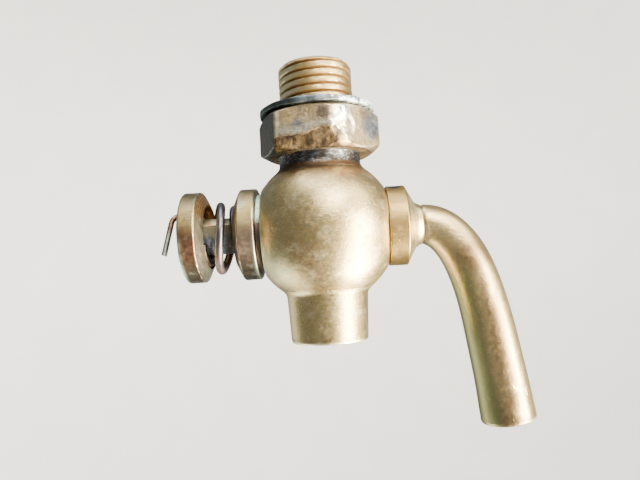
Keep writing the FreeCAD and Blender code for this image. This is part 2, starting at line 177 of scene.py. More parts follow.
# %% Turned pieces
def spun(outline, axis, around, form=None):
    """Rings of points round X through the plug, or round Z, from (along, radius) points."""
    angles = np.linspace(0, 2 * math.pi, around, endpoint=False)
    along = outline[:, :1] + 0 * angles
    radius = outline[:, 1:] + 0 * angles
    if form:
        radius = form(along, radius, angles + 0 * along)
    first, second = radius * np.cos(angles), radius * np.sin(angles)
    if axis == "X":
        return np.stack([along, first, PLUG_Z + second], axis=-1)
    return np.stack([first, second, along], axis=-1)


def turned(name, outline, axis, around, form=None, washer=False, step=None):
    """Skin of an outline with eased corners, spun round an axis."""
    line = eased(outline, closed=washer)
    if step:
        line = stepped(line, step)
    return skin(name, spun(line, axis, around, form), washer)


def double_d(along, radius, angles, reach=STEM_RADIUS, flats=STEM_HALF_FLATS):
    """Round stem with a flat on its near and far side, where the radius is within its reach."""
    flattened = np.minimum(radius, flats / np.maximum(np.abs(np.cos(angles)), 1e-6))
    return np.where(radius <= reach + 1e-6, flattened, radius)


# %% [markdown]
# Solids are joined and cut as in a workshop: the body is one casting with bores cut through it. The
# exact solver keeps thin walls and clean rims. The tools are removed once the result is a plain
# mesh.

# %% Joining and cutting solids
def plain(name, source):
    """The mesh that an object has after its modifiers, as a piece without any."""
    evaluated = source.evaluated_get(bpy.context.evaluated_depsgraph_get())
    piece = placed(name, bpy.data.meshes.new_from_object(evaluated))
    print(name, "has", len(piece.data.polygons), "faces")
    return piece


def worked(name, base, joins=(), cuts=()):
    """One plain mesh: a solid with others joined to it and others cut from it."""
    for solids, operation in ((joins, "UNION"), (cuts, "DIFFERENCE")):
        for solid in solids:
            modifier = base.modifiers.new(solid.name, "BOOLEAN")
            modifier.operation = operation
            modifier.solver = "EXACT"
            modifier.object = solid
    piece = plain(name, base)
    for solid in (base, *joins, *cuts):
        bpy.data.objects.remove(solid)
    return piece


# %% [markdown]
# Two more helpers finish a mesh. `rough_up` moves the surface in and out by a smooth random field,
# as casting, filing and years of spanners do. `crisp` shades a piece smoothly but keeps its real
# corners sharp, and stores how convex each point is, which the finishes use to wear the edges
# bright.

# %% Unevenness, shading and edge wear
def rough_up(piece, depth, size, seed=0.0, where=None):
    """Move each point along its normal by up to about depth, in lumps of one size, in millimetres."""
    mesh = piece.data
    moves = []
    for vertex in mesh.vertices:
        place = vertex.co / MM
        amount = where(place) if where else 1.0
        lump = noise.noise(place / size + Vector((seed, seed * 1.7, -seed))) if amount else 0.0
        moves.append(vertex.co + vertex.normal * (depth * MM * amount * lump))
    for vertex, moved in zip(mesh.vertices, moves):
        vertex.co = moved


def crisp(piece, degrees=38.0):
    """Smooth shading with sharp corners, and an attribute that is high on convex edges."""
    work = bmesh.new()
    work.from_mesh(piece.data)
    work.normal_update()
    for face in work.faces:
        face.smooth = True
    bend = np.zeros(len(work.verts))
    span = np.full(len(work.verts), 1e-9)
    for edge in work.edges:
        if len(edge.link_faces) != 2:
            continue
        angle = edge.calc_face_angle_signed(0.0)
        edge.smooth = abs(angle) < math.radians(degrees)
        width = sum(face.calc_area() for face in edge.link_faces) / max(edge.calc_length(), 1e-7)
        for vertex in edge.verts:
            bend[vertex.index] += angle
            span[vertex.index] += min(width, 0.4 * MM)
    work.to_mesh(piece.data)
    work.free()
    wear = np.clip(bend / span * 0.25 * MM, -1.0, 1.0)
    layer = piece.data.attributes.new("edge", "FLOAT", "POINT")
    layer.data.foreach_set("value", wear.astype(np.float32))
    return piece


# %% [markdown]
# ## Shader arithmetic
#
# A finish is a few numbers worked out at each point of a surface: how golden, how brown, how
# polished. Blender works them out in nodes, but sums are easier to read as sums. `Wire` wraps a
# socket, so that `wear * 0.6 + 0.2` adds the Math nodes by itself. `Nodes` makes every other node
# through one method, and `Finish` is such a tree of nodes for one material.

# %% A socket that can be added and multiplied
def operator(operation, swapped=False):
    """A method that joins two values by one Math node, in their order or swapped."""
    def joined(first, second):
        values = (second, first) if swapped else (first, second)
        return first.owner.sum(operation, *values)
    return joined


class Wire:
    """One value in a tree of nodes. Arithmetic on it adds Math nodes."""

    def __init__(self, owner, socket):
        self.owner = owner
        self.socket = socket

    __add__ = operator("ADD")
    __radd__ = operator("ADD", swapped=True)
    __sub__ = operator("SUBTRACT")
    __rsub__ = operator("SUBTRACT", swapped=True)
    __mul__ = operator("MULTIPLY")
    __rmul__ = operator("MULTIPLY", swapped=True)
    __truediv__ = operator("DIVIDE")

    def __abs__(self):
        return self.owner.sum("ABSOLUTE", self)


# %% A tree whose nodes are made through one method
class Nodes:
    """A tree of nodes, of a finish or of a geometry."""

    def __init__(self, tree):
        self.tree = tree

    @staticmethod
    def find(sockets, key):
        """A node's socket by its number, its identifier or its name."""
        if isinstance(key, int):
            return sockets[key]
        return next(
            found for found in sockets if found.enabled and key in (found.identifier, found.name))

    def add(self, kind, settings, sockets, output):
        """Any node: its type, its settings, its sockets' values or wires, and the output wanted."""
        node = self.tree.nodes.new(kind)
        for key, value in settings.items():
            setattr(node, key, value)
        for key, value in sockets.items():
            socket = self.find(node.inputs, key)
            if isinstance(value, Wire):
                self.tree.links.new(value.socket, socket)
            else:
                socket.default_value = value
        return Wire(self, self.find(node.outputs, output))

    def sum(self, operation, *values):
        """A Math node on some values, in their order."""
        return self.add("ShaderNodeMath", {"operation": operation}, dict(enumerate(values)), 0)

    def vector(self, operation, sockets, output=0):
        """A Vector Math node."""
        return self.add("ShaderNodeVectorMath", {"operation": operation}, sockets, output)

    def axes(self, place):
        """The x, y and z of a place."""
        node = self.tree.nodes.new("ShaderNodeSeparateXYZ")
        self.tree.links.new(place.socket, node.inputs[0])
        return [Wire(self, socket) for socket in node.outputs]


# %% One finish with its nodes
class Finish(Nodes):
    """A material being built: its main shader, and the place on the piece in millimetres."""

    def __init__(self, name, **constants):
        self.material = bpy.data.materials.new(name)
        self.material.use_nodes = True
        super().__init__(self.material.node_tree)
        self.shader = self.tree.nodes["Principled BSDF"]
        for key, value in constants.items():
            self.shader.inputs[key.replace("_", " ")].default_value = value
        coordinates = self.add("ShaderNodeTexCoord", {}, {}, "Object")
        self.place = self.vector("SCALE", {0: coordinates, "Scale": 1 / MM})
        self.x, self.y, self.z = self.axes(self.place)

    def coat(self, colour, mask):
        """Lay a colour over the finish, by a mask."""
        self.colour = paint(self.colour, colour, mask)

    def feed(self, **inputs):
        """Connect wires to the main shader's own sockets."""
        for key, wire in inputs.items():
            self.tree.links.new(wire.socket, self.shader.inputs[key.replace("_", " ")])


# %% [markdown]
# These are the words that the finishes are written in. `cloud` is a soft random pattern of a stated
# grain, `over` gives 0 below one value and 1 above another, `spot` marks a worn or dirty place by
# its centre, `seam` marks a line through places, and `paint` lays one colour over another by a
# mask. `relief` makes bumps.

# %% Words for finishes
def cloud(finish, grain, detail=3.0, roughness=0.55, seed=0.0, stretch=(1, 1, 1), turn=(0, 0, 0)):
    """Random pattern from 0 to 1 whose lumps are about one grain wide, in millimetres."""
    mapped = finish.add("ShaderNodeMapping", {"vector_type": "POINT"}, {
        "Vector": finish.place, "Location": (seed, seed * 0.7, seed * 1.3),
        "Rotation": turn, "Scale": stretch}, 0)
    return finish.add("ShaderNodeTexNoise", {"noise_dimensions": "3D"}, {
        "Vector": mapped, "Scale": 1 / grain, "Detail": detail, "Roughness": roughness}, 0)


def over(value, low, high, rise="SMOOTHSTEP"):
    """0 below one value and 1 above another, with a smooth or a linear rise between."""
    return value.owner.add("ShaderNodeMapRange", {"interpolation_type": rise}, {
        0: value, 1: low, 2: high, 3: 0.0, 4: 1.0}, 0)


def both(first, second):
    """One mask where another is, too."""
    return first.owner.add("ShaderNodeMath", {"operation": "MULTIPLY", "use_clamp": True}, {
        0: first, 1: second}, 0)


def either(first, *others):
    """The strongest of several masks."""
    for other in others:
        first = first.owner.sum("MAXIMUM", first, other)
    return first


def clamped(value, low=0.0, high=1.0):
    """The value, kept between two limits."""
    return value.owner.add("ShaderNodeClamp", {}, {"Value": value, "Min": low, "Max": high}, 0)


# %% Marks at a place, along a line and through places
def away_from(finish, centre, stretch):
    """Distance from a place in millimetres, with each axis stretched or left out."""
    away = finish.vector("SUBTRACT", {0: finish.place, 1: centre})
    return finish.vector("LENGTH", {0: finish.vector("MULTIPLY", {0: away, 1: stretch})}, "Value")


def spot(finish, centre, radius, soft=0.5, stretch=(1, 1, 1)):
    """Mask that is 1 at a place and fades to 0 at its radius."""
    return 1 - over(away_from(finish, centre, stretch), radius * (1 - soft), radius)


def stroke(finish, start, end, width, ragged=None):
    """Mask along a straight mark between two places, with a ragged edge where one is given."""
    run = np.array(end, dtype=float) - np.array(start, dtype=float)
    away = finish.vector("SUBTRACT", {0: finish.place, 1: start})
    share = clamped(finish.vector("DOT_PRODUCT", {0: away, 1: tuple(run / run.dot(run))}, "Value"))
    nearest = finish.vector("SCALE", {0: tuple(run), "Scale": share})
    distance = finish.vector("DISTANCE", {0: away, 1: nearest}, "Value")
    if ragged:
        distance = distance + (ragged - 0.5) * (width * 1.6)
    return 1 - over(distance, width * 0.35, width)


def seam(finish, places, width, ragged=None):
    """Mask along a mark through several places."""
    runs = zip(places, places[1:])
    return either(*(stroke(finish, start, end, width, ragged) for start, end in runs))


# %% Paint, bumps and worn edges
def paint(under, top, mask):
    """One colour over another, by a mask."""
    return mask.owner.add("ShaderNodeMix", {"data_type": "RGBA"}, {
        "Factor_Float": mask, "A_Color": under, "B_Color": top}, "Result_Color")


def relief(height, strength, distance):
    """Bumps from a height of 0 to 1, whose full depth is a distance in millimetres."""
    return height.owner.add("ShaderNodeBump", {}, {
        "Height": height, "Strength": strength, "Distance": distance * MM}, 0)


def edge_wear(finish, low, high):
    """Mask of convex edges, from the attribute that crisp() stored."""
    edge = finish.add("ShaderNodeAttribute", {"attribute_name": "edge"}, {}, "Fac")
    return over(edge + (cloud(finish, 0.8, seed=5.0) - 0.5) * 0.5, low, high)


# %% [markdown]
# ## Brass
#
# Old brass isn't one colour. Where hands and cloths reach it is pale gold; where they don't it is
# brown, and the last polish leaves fine scratches that run every way. `brass` mixes three tones by
# two clouds and lets each piece add its own marks before it is finished.

# %% Colours of old brass
GOLD = (0.51, 0.37, 0.155, 1)
PALE_GOLD = (0.86, 0.74, 0.46, 1)
TAN = (0.34, 0.235, 0.12, 1)
OLIVE = (0.40, 0.37, 0.20, 1)
BROWN = (0.20, 0.115, 0.055, 1)
DARK = (0.035, 0.030, 0.026, 1)
VERDIGRIS_AND_HIGHLIGHT = (0.58, 0.70, 0.58, 1)
GREY_FILM = (0.36, 0.36, 0.34, 1)
SHINE, CHALK = 0.12, 0.9
SCRATCH_LENGTH = 3.4
SCRATCH_STRETCH = (1.0, 12.0, 12.0)
SCRATCH_TURNS = [(0, 1.0, 0), (0.2, -0.95, 0.3), (0.9, 0.1, 1.2)]
print("brass tones from", PALE_GOLD[:3], "to", DARK[:3])

# %% Scratched and tarnished brass
def scratches(finish, seed):
    """Fine marks in three directions, each a strongly stretched cloud."""
    clouds = (cloud(finish, SCRATCH_LENGTH, 2.0, 0.55, seed + 3.1 * number, SCRATCH_STRETCH, turn)
              for number, turn in enumerate(SCRATCH_TURNS))
    return either(*(over(lines, 0.58, 0.72) for lines in clouds))


def brass(name, tarnish, polish, seed, base=GOLD, worn=PALE_GOLD, dull=TAN, scratched=0.42):
    """Brass with clouds of tarnish. Returns the finish with its colour, roughness and height."""
    finish = Finish(name, Metallic=1.0)
    large = cloud(finish, 4.5, 4.0, 0.62, seed)
    small = cloud(finish, 0.7, 5.0, 0.65, seed + 11)
    mottle = over(large * 0.6 + small * 0.4, 0.64 - 0.3 * tarnish, 0.84 - 0.3 * tarnish)
    marks = scratches(finish, seed)
    finish.colour = paint(paint(base, dull, mottle * 0.85), worn, marks * scratched)
    finish.roughness = polish + mottle * 0.10 + (small - 0.5) * 0.25 - marks * 0.05
    finish.height = small * 0.7 + cloud(finish, 0.3, 3.0, 0.6, seed + 5) * 0.3 - marks * 0.25
    return finish


def finished(finish, strength=0.7, depth=0.045):
    """Connect colour, roughness and height to the shader, and give the material."""
    roughness = clamped(finish.roughness, SHINE, CHALK)
    finish.feed(
        Base_Color=finish.colour, Roughness=roughness, Normal=relief(finish.height, strength, depth))
    return finish.material


# %% [markdown]
# ## Threaded spigot
#
# The spigot has a quarter inch pipe thread, nineteen to the inch. A thread follows one rule: how
# deep a point lies depends only on its height less its share of a turn times the pitch. So Geometry
# Nodes make it. The tree takes a plain cylinder and sets each point to the radius of the rule. Wear
# has left the crests wide and flat, so the grooves are narrow, and a cone at the top makes the
# chamfer.

# %% Helper for geometry trees
class Steps(Nodes):
    """A geometry tree that is built node by node, with the same arithmetic as the finishes."""

    def __init__(self, name, sizes):
        super().__init__(bpy.data.node_groups.new(name, "GeometryNodeTree"))
        self.sizes = {}
        for label, (kind, value) in sizes.items():
            socket = self.tree.interface.new_socket(label, in_out="INPUT", socket_type=kind)
            if value is not None:
                socket.default_value = value
            self.sizes[label] = socket.identifier
        self.tree.interface.new_socket("Geometry", in_out="OUTPUT", socket_type="NodeSocketGeometry")
        self.inputs = self.tree.nodes.new("NodeGroupInput")
        self.output = self.tree.nodes.new("NodeGroupOutput")

    def size(self, label):
        """One of the tree's own sizes."""
        return Wire(self, self.find(self.inputs.outputs, label))

    def finish(self, geometry, material):
        """End the tree: real geometry, not instances, with its material."""
        real = self.add("GeometryNodeRealizeInstances", {}, {"Geometry": geometry}, 0)
        dressed = self.add("GeometryNodeSetMaterial", {}, {"Geometry": real, "Material": material}, 0)
        self.tree.links.new(dressed.socket, self.output.inputs[0])

    def build(self, name, values):
        """Run the tree with its sizes set by their identifiers, and give a plain mesh object."""
        holder = new_piece(name + "_holder", [(0, 0, 0)], [])
        modifier = holder.modifiers.new("steps", "NODES")
        modifier.node_group = self.tree
        for label, value in values.items():
            modifier[self.sizes[label]] = value
        piece = plain(name, holder)
        bpy.data.objects.remove(holder)
        return piece


# %% The thread's rule as a geometry tree
FLOAT = "NodeSocketFloat"
thread_steps = Steps("pipe_thread", {
    "Radius": (FLOAT, 6.5785), "Depth": (FLOAT, 0.64), "Pitch": (FLOAT, 1.337), "Groove": (FLOAT, 0.34),
    "Start Turn": (FLOAT, 0.53), "Relief": (FLOAT, 0.89), "Foot": (FLOAT, -1.0), "Top": (FLOAT, 7.9),
    "Chamfer": (FLOAT, 0.6), "Battering": (FLOAT, 0.10)})


def thread_geometry(steps):
    """A plain cylinder whose points are set to the radius that the thread has there."""
    foot, top, radius = steps.size("Foot"), steps.size("Top"), steps.size("Radius")
    blank = steps.add("GeometryNodeMeshCylinder", {"fill_type": "NGON"}, {
        "Vertices": 160, "Side Segments": 170, "Radius": 1.0, "Depth": 1.0}, "Mesh")
    position = steps.add("GeometryNodeInputPosition", {}, {}, 0)
    x, y, z = steps.axes(position)
    height = foot + (z + 0.5) * (top - foot)
    angle = steps.sum("ARCTAN2", y, x)
    turns = height / steps.size("Pitch") - angle / (2 * math.pi) - steps.size("Start Turn")
    phase = steps.sum("FRACT", turns + 40.5)
    from_groove = abs(phase - 0.5) * steps.size("Pitch")
    groove = 1 - over(from_groove, 0.06, steps.size("Groove"), "LINEAR")
    land = 1 - over(height, -0.04, 0.04, "LINEAR")
    wear = steps.add("ShaderNodeTexNoise", {"noise_dimensions": "3D"}, {
        "Vector": position, "Scale": 4.0, "Detail": 4.0}, 0)
    crest = radius - wear * steps.size("Battering")
    bottom = either(groove * steps.size("Depth"), land * steps.size("Relief"))
    cut = steps.sum("SMOOTH_MIN", radius - bottom, crest, 0.10)
    cone = radius + 0.05 - (steps.size("Chamfer") - (top - height)) - wear * 0.25
    final = steps.sum("SMOOTH_MIN", cut, cone, 0.12)
    outwards = steps.vector("MULTIPLY", {0: position, 1: (1, 1, 0)})
    flat = steps.vector("SCALE", {0: outwards, "Scale": final})
    rise = steps.add("ShaderNodeCombineXYZ", {}, {"Z": height}, 0)
    moved = steps.vector("ADD", {0: flat, 1: rise})
    metres = steps.vector("SCALE", {0: moved, "Scale": MM})
    return steps.add("GeometryNodeSetPosition", {}, {"Geometry": blank, "Position": metres}, 0)


casting_blank = bpy.data.materials.new("casting_blank")
thread_steps.finish(thread_geometry(thread_steps), casting_blank)
spigot = thread_steps.build("spigot", {"Radius": 6.5785, "Top": 7.88})

# %% [markdown]
# ## Hexagon
#
# Spanners have chewed this hexagon for decades. Its radius in any direction is the nearest of six
# flats and two chamfer cones, and a soft minimum rounds the corners where they meet. The front
# right corner is mashed flat, the lower edge of the front face is chewed, and shallow dents cover
# the rest.

# %% Sizes of the hexagon and its wear
HEX_HALF_FLATS = 9.525
HEX_FIRST_CORNER = math.radians(51.0)
HEX_CHAMFER_RADIUS = 9.0
HEX_CHAMFER_SLOPE = math.tan(math.radians(30))
MASHED_CORNER, MASHED_REACH = math.radians(291.0), 10.25
FRONT_FACE = math.radians(262)
BEVEL_FOOT, BEVEL_SLOPE = 8.55, 0.42
CHEWED_MIDDLE_X, CHEWED_DEPTH = 1.4, 0.26
WEDGE_CORNER, WEDGE_Z, WEDGE_DEPTH = math.radians(301), -4.9, 0.22
BEYOND_ALL = 40.0
print("hexagon", 2 * HEX_HALF_FLATS, "mm across flats")

# %% Soft least, random field and ramp
def soft_least(radii, hardness):
    """The least of several radii at each point, with a small round where two are alike."""
    return (np.sum(np.asarray(radii) ** -hardness, axis=0)) ** (-1 / hardness)


def field(points, size, seed):
    """Smooth random values at points in millimetres, each between about -1 and 1."""
    shift = Vector((seed, -seed, 2 * seed))
    flat = points.reshape(-1, 3)
    values = [noise.noise(Vector(point) / size + shift) for point in flat]
    return np.array(values).reshape(points.shape[:-1])


def ramp(values, low, high):
    """0 up to a low value, 1 from a high one, and a smooth rise between."""
    share = np.clip((values - low) / (high - low), 0, 1)
    return share * share * (3 - 2 * share)


# %% The hexagon's sides
def hexagon_sides(heights, angles, waves, chips):
    """Radius to each flat, to both chamfers, to the mashed corner and to the front's low bevel."""
    sides = []
    for side in range(6):
        lean = np.cos(angles - HEX_FIRST_CORNER - math.radians(30 + 60 * side))
        sides.append(HEX_HALF_FLATS / np.maximum(lean, 0.3) + 0 * heights)
    sides.append(HEX_CHAMFER_RADIUS + (HEX_TOP_Z - heights) / HEX_CHAMFER_SLOPE + 0 * angles)
    sides.append(HEX_CHAMFER_RADIUS + (heights - HEX_BOTTOM_Z) / HEX_CHAMFER_SLOPE + 0 * angles)
    corner = np.cos(angles - MASHED_CORNER)
    sides.append((MASHED_REACH + 0.30 * waves + 0.16 * chips) / np.maximum(corner, 0.3))
    front = np.cos(angles - FRONT_FACE)
    bevel = BEVEL_FOOT + (heights - HEX_BOTTOM_Z) * BEVEL_SLOPE + 0.28 * waves + 0.12 * chips
    sides.append(np.where(front > 0.75, bevel / np.maximum(front, 0.3), BEYOND_ALL))
    return sides


# %% The worn hexagon
def hexagon_rings(rows=72, around=480):
    """Rings of the hexagon, with its chewed edge, its scraped wedge and its worn corners."""
    heights = HEX_BOTTOM_Z + (HEX_TOP_Z - HEX_BOTTOM_Z) * np.linspace(0, 1, rows)[:, None]
    angles = np.linspace(0, 2 * math.pi, around, endpoint=False)[None, :]
    ball = 9.6 + 0 * heights + 0 * angles
    rough = np.stack([ball * np.cos(angles), ball * np.sin(angles), heights + 0 * angles], axis=-1)
    waves, chips = field(rough, 2.6, 1), field(rough, 0.8, 2)
    radius = soft_least(hexagon_sides(heights, angles, waves, chips), 120)
    across = 9.0 * np.cos(angles)
    top = -5.15 - ramp(np.abs(across - CHEWED_MIDDLE_X), 0.3, 4.6) - 1.5 * ramp(across, 2.6, 5.2)
    in_front = ramp(np.cos(angles - FRONT_FACE), 0.80, 0.88)
    chewed = (1 - ramp(heights - top, -0.25, 0.05)) * in_front
    radius = radius - chewed * (CHEWED_DEPTH + 0.10 * chips)
    aside = (angles - WEDGE_CORNER) * 10 + 0 * heights
    radius = radius - WEDGE_DEPTH * (1 - ramp(np.hypot(aside, heights - WEDGE_Z), 1.2, 2.0))
    corners = 0.10 * ramp(radius, 10.3, 10.9) * (0.5 + 0.5 * np.abs(waves))
    radius = radius - corners - 0.05 * np.abs(waves) - 0.03 * np.abs(chips)
    return np.stack([radius * np.cos(angles), radius * np.sin(angles), heights + 0 * radius], axis=-1)


hexagon = skin("hexagon", hexagon_rings())
print("hexagon corners reach", round(max(v.co.x for v in hexagon.data.vertices) / MM, 2), "mm")

# %% [markdown]
# ## Globe, neck and spout
#
# The globe is spun round the plug's axis, because its two flats and the boss under the spring cup
# belong to that axis. Neck and spout are spun round the spigot's axis. Each flares where it meets
# the globe, so the joined casting has the small fillets that a foundry pattern needs.

# %% Solids of the casting
def globe_outline():
    """The boss under the spring cup, the round globe and the flat on the side of the lever."""
    first, last = math.asin(-10.15 / GLOBE_RADIUS), math.asin(10.65 / GLOBE_RADIUS)
    arc = [(GLOBE_RADIUS * math.sin(turn), GLOBE_RADIUS * math.cos(turn))
           for turn in np.linspace(first, last, 80)]
    boss = [(-11.3, 0.6), (-11.3, 7.0, 0.12), (SPRING_FLAT_X, 7.0, 0.06), (SPRING_FLAT_X, 7.8, 0.18)]
    return boss + arc + [(LEVER_FLAT_X, 7.085, 0.15), (LEVER_FLAT_X, 0.6)]


NECK_OUTLINE = [
    (-7.6, 6.0), (-7.6, 7.2), (-8.4, 7.35), (-8.75, 7.2), (-9.75, 7.2), (-10.05, 7.23), (-10.35, 7.34),
    (-10.62, 7.5), (-10.86, 7.7), (-11.05, 7.88), (-11.6, 7.9), (-11.8, 6.0)]
SPOUT_OUTLINE = [
    (-40.924, 3.6), (-40.924, 6.7, 0.45), (-33.1, 7.11), (-32.75, 7.15), (-32.5, 7.24), (-32.25, 7.42),
    (-32.02, 7.62), (-31.82, 7.8), (-31.2, 7.7), (-31.0, 4.0)]

globe = turned("globe", globe_outline(), "X", around=192)
neck = turned("neck", NECK_OUTLINE, "Z", around=160)
spout = turned("spout", SPOUT_OUTLINE, "Z", around=160, step=0.8)
print("casting solids", globe.name, neck.name, spout.name)

# %% Cutters for the seat and the waterway
PLUG_RADIUS = 6.3
PLUG_TAPER = 0.0775


def plug_radius(x):
    """Radius of the plug's taper, which is widest at the flat on the side of the lever."""
    return PLUG_RADIUS - (LEVER_FLAT_X - x) * PLUG_TAPER


seat_cutter = turned("seat_cutter", [
    (-12.3, plug_radius(-12.3) + 0.05), (11.9, plug_radius(11.9) + 0.05)], "X", around=96)
inlet_cutter = turned("inlet_cutter", [
    (-13.1, 3.5), (7.5, 3.5), (7.95, 3.85), (9.0, 3.85)], "Z", around=96)
throat_cutter = turned("throat_cutter", [(-42.0, 3.1), (0.0, 3.1)], "Z", around=96)
outlet_cutter = turned("outlet_cutter", [
    (-42.0, 4.85), (-40.95, 4.85), (-40.5, 4.5), (-32.424, 4.5)], "Z", around=96)
body = worked(
    "cock_body", globe, (neck, hexagon, spigot, spout),
    (seat_cutter, inlet_cutter, throat_cutter, outlet_cutter))

# %% [markdown]
# ## Finishes of the casting
#
# One casting, but five finishes: bright golden thread with painted shade in its grooves and painted
# light on its left side, dark spanner-chewed hexagon with painted shade on its left face and
# underside, a neck that no cloth reaches with painted glints on it, the handled globe with its spout,
# and the dark bores. Each face takes its finish from where it is.

# %% Thread, neck and bore finishes
def thread_finish():
    finish = brass("thread_brass", 0.3, 0.36, 2.0, base=(0.60, 0.42, 0.17, 1))
    # Painted shade: the thread's grooves are coloured dark brown.
    groove = 1 - over(away_from(finish, (0, 0, 0), (1, 1, 0)), 6.15, 6.48)
    finish.coat((0.20, 0.115, 0.045, 1), groove * 0.85)
    dirt = over(cloud(finish, 1.4, 4.0, 0.6, 61.0, (1, 1, 2.5)), 0.55, 0.72)
    finish.coat((0.36, 0.235, 0.10, 1), dirt * 0.7)
    # Painted light: the thread's left side, outside the grooves, is coloured paler gold.
    painted_light_left_side = over(-1 * finish.x, 1.5, 5.0) * (1 - groove)
    finish.coat((0.82, 0.70, 0.44, 1), painted_light_left_side * 0.75)
    rim = over(finish.z + dirt * 0.5, 7.35, 7.8)
    finish.coat((0.40, 0.29, 0.14, 1), rim * 0.7)
    finish.roughness = finish.roughness + groove * 0.25
    return finished(finish)


def neck_finish():
    finish = brass(
        "neck_bronze", 0.9, 0.36, 4.0, base=(0.055, 0.046, 0.04, 1), worn=GREY_FILM, dull=DARK)
    # Painted reflections: soft blue-grey glints are coloured onto the dark neck.
    smears_and_glints = over(cloud(finish, 1.3, 4.0, 0.6, 8.0, (1, 1, 1.8)), 0.48, 0.74)
    finish.coat((0.26, 0.29, 0.33, 1), smears_and_glints * 0.55)
    foot = 1 - over(finish.z + (smears_and_glints - 0.5) * 0.4, -10.75, -10.2)
    finish.coat((0.15, 0.09, 0.05, 1), foot * 0.9)
    return finished(finish, 0.9, 0.06)


def bore_finish():
    finish = brass("bore_bronze", 0.9, 0.6, 6.0, base=TAN, worn=GOLD, dull=DARK)
    return finished(finish, 0.5, 0.04)


# %% [markdown]
# The hexagon's marks were left by spanners, so each stands at a place of its own: a mashed corner,
# painted pale as bare metal and as a painted highlight, a scraped wedge under it with two bright
# creases, a chewed strip along the lower edge, dark brown partly as tarnish and partly as painted
# shadow from the globe, and stains of old paint and oil. The places are plain lists, measured once on
# the faces, and the finish paints a mark at each. The left face and the underside also get painted
# shade.

# %% Places of the hexagon's marks
HEXAGON_STAINS = [
    ((-5.0, -8.7, -2.3), 2.4, (0.50, 0.34, 0.16, 1), 0.9),
    ((-0.6, -9.4, -2.6), 1.3, (0.55, 0.39, 0.20, 1), 0.8),
    ((-3.0, -8.9, -4.7), 1.5, (0.20, 0.215, 0.215, 1), 0.9),
    ((1.2, -9.6, -3.0), 1.5, (0.17, 0.12, 0.095, 1), 0.8),
    ((9.4, -3.6, -4.0), 3.8, (0.12, 0.135, 0.155, 1), 0.95),
    ((8.2, -5.0, -2.2), 1.8, (0.22, 0.15, 0.10, 1), 0.8)]
HEXAGON_BAND = [(-6.2, -8.3, -5.2), (-3.0, -8.9, -5.4), (-1.1, -9.1, -4.8), (1.6, -9.5, -4.4)]
FRONT_CORNER = [(-6.35, -8.4, -1.6), (-6.45, -8.35, -5.8)]
WEDGE_RIGHT = [(6.4, -8.5, -1.7), (7.15, -8.2, -4.5), (7.0, -8.3, -6.0), (6.6, -8.4, -7.8)]
WEDGE_LEFT = [(2.6, -10.0, -4.8), (4.4, -9.3, -6.4), (5.7, -8.8, -6.7), (6.4, -8.5, -8.1)]


def chewed_part(finish, ragged):
    """Strip along the front's lower edge, highest a little right of the middle."""
    aside = abs(finish.x - CHEWED_MIDDLE_X)
    top = 1.0 - over(aside, 0.3, 4.6) - over(finish.x, 2.6, 5.2) * 1.5
    height = finish.z - top + (ragged - 0.5) * 0.7
    strip = 1 - over(height, -6.2, -6.0)
    return both(strip, 1 - over(finish.y, -7.4, -6.6))


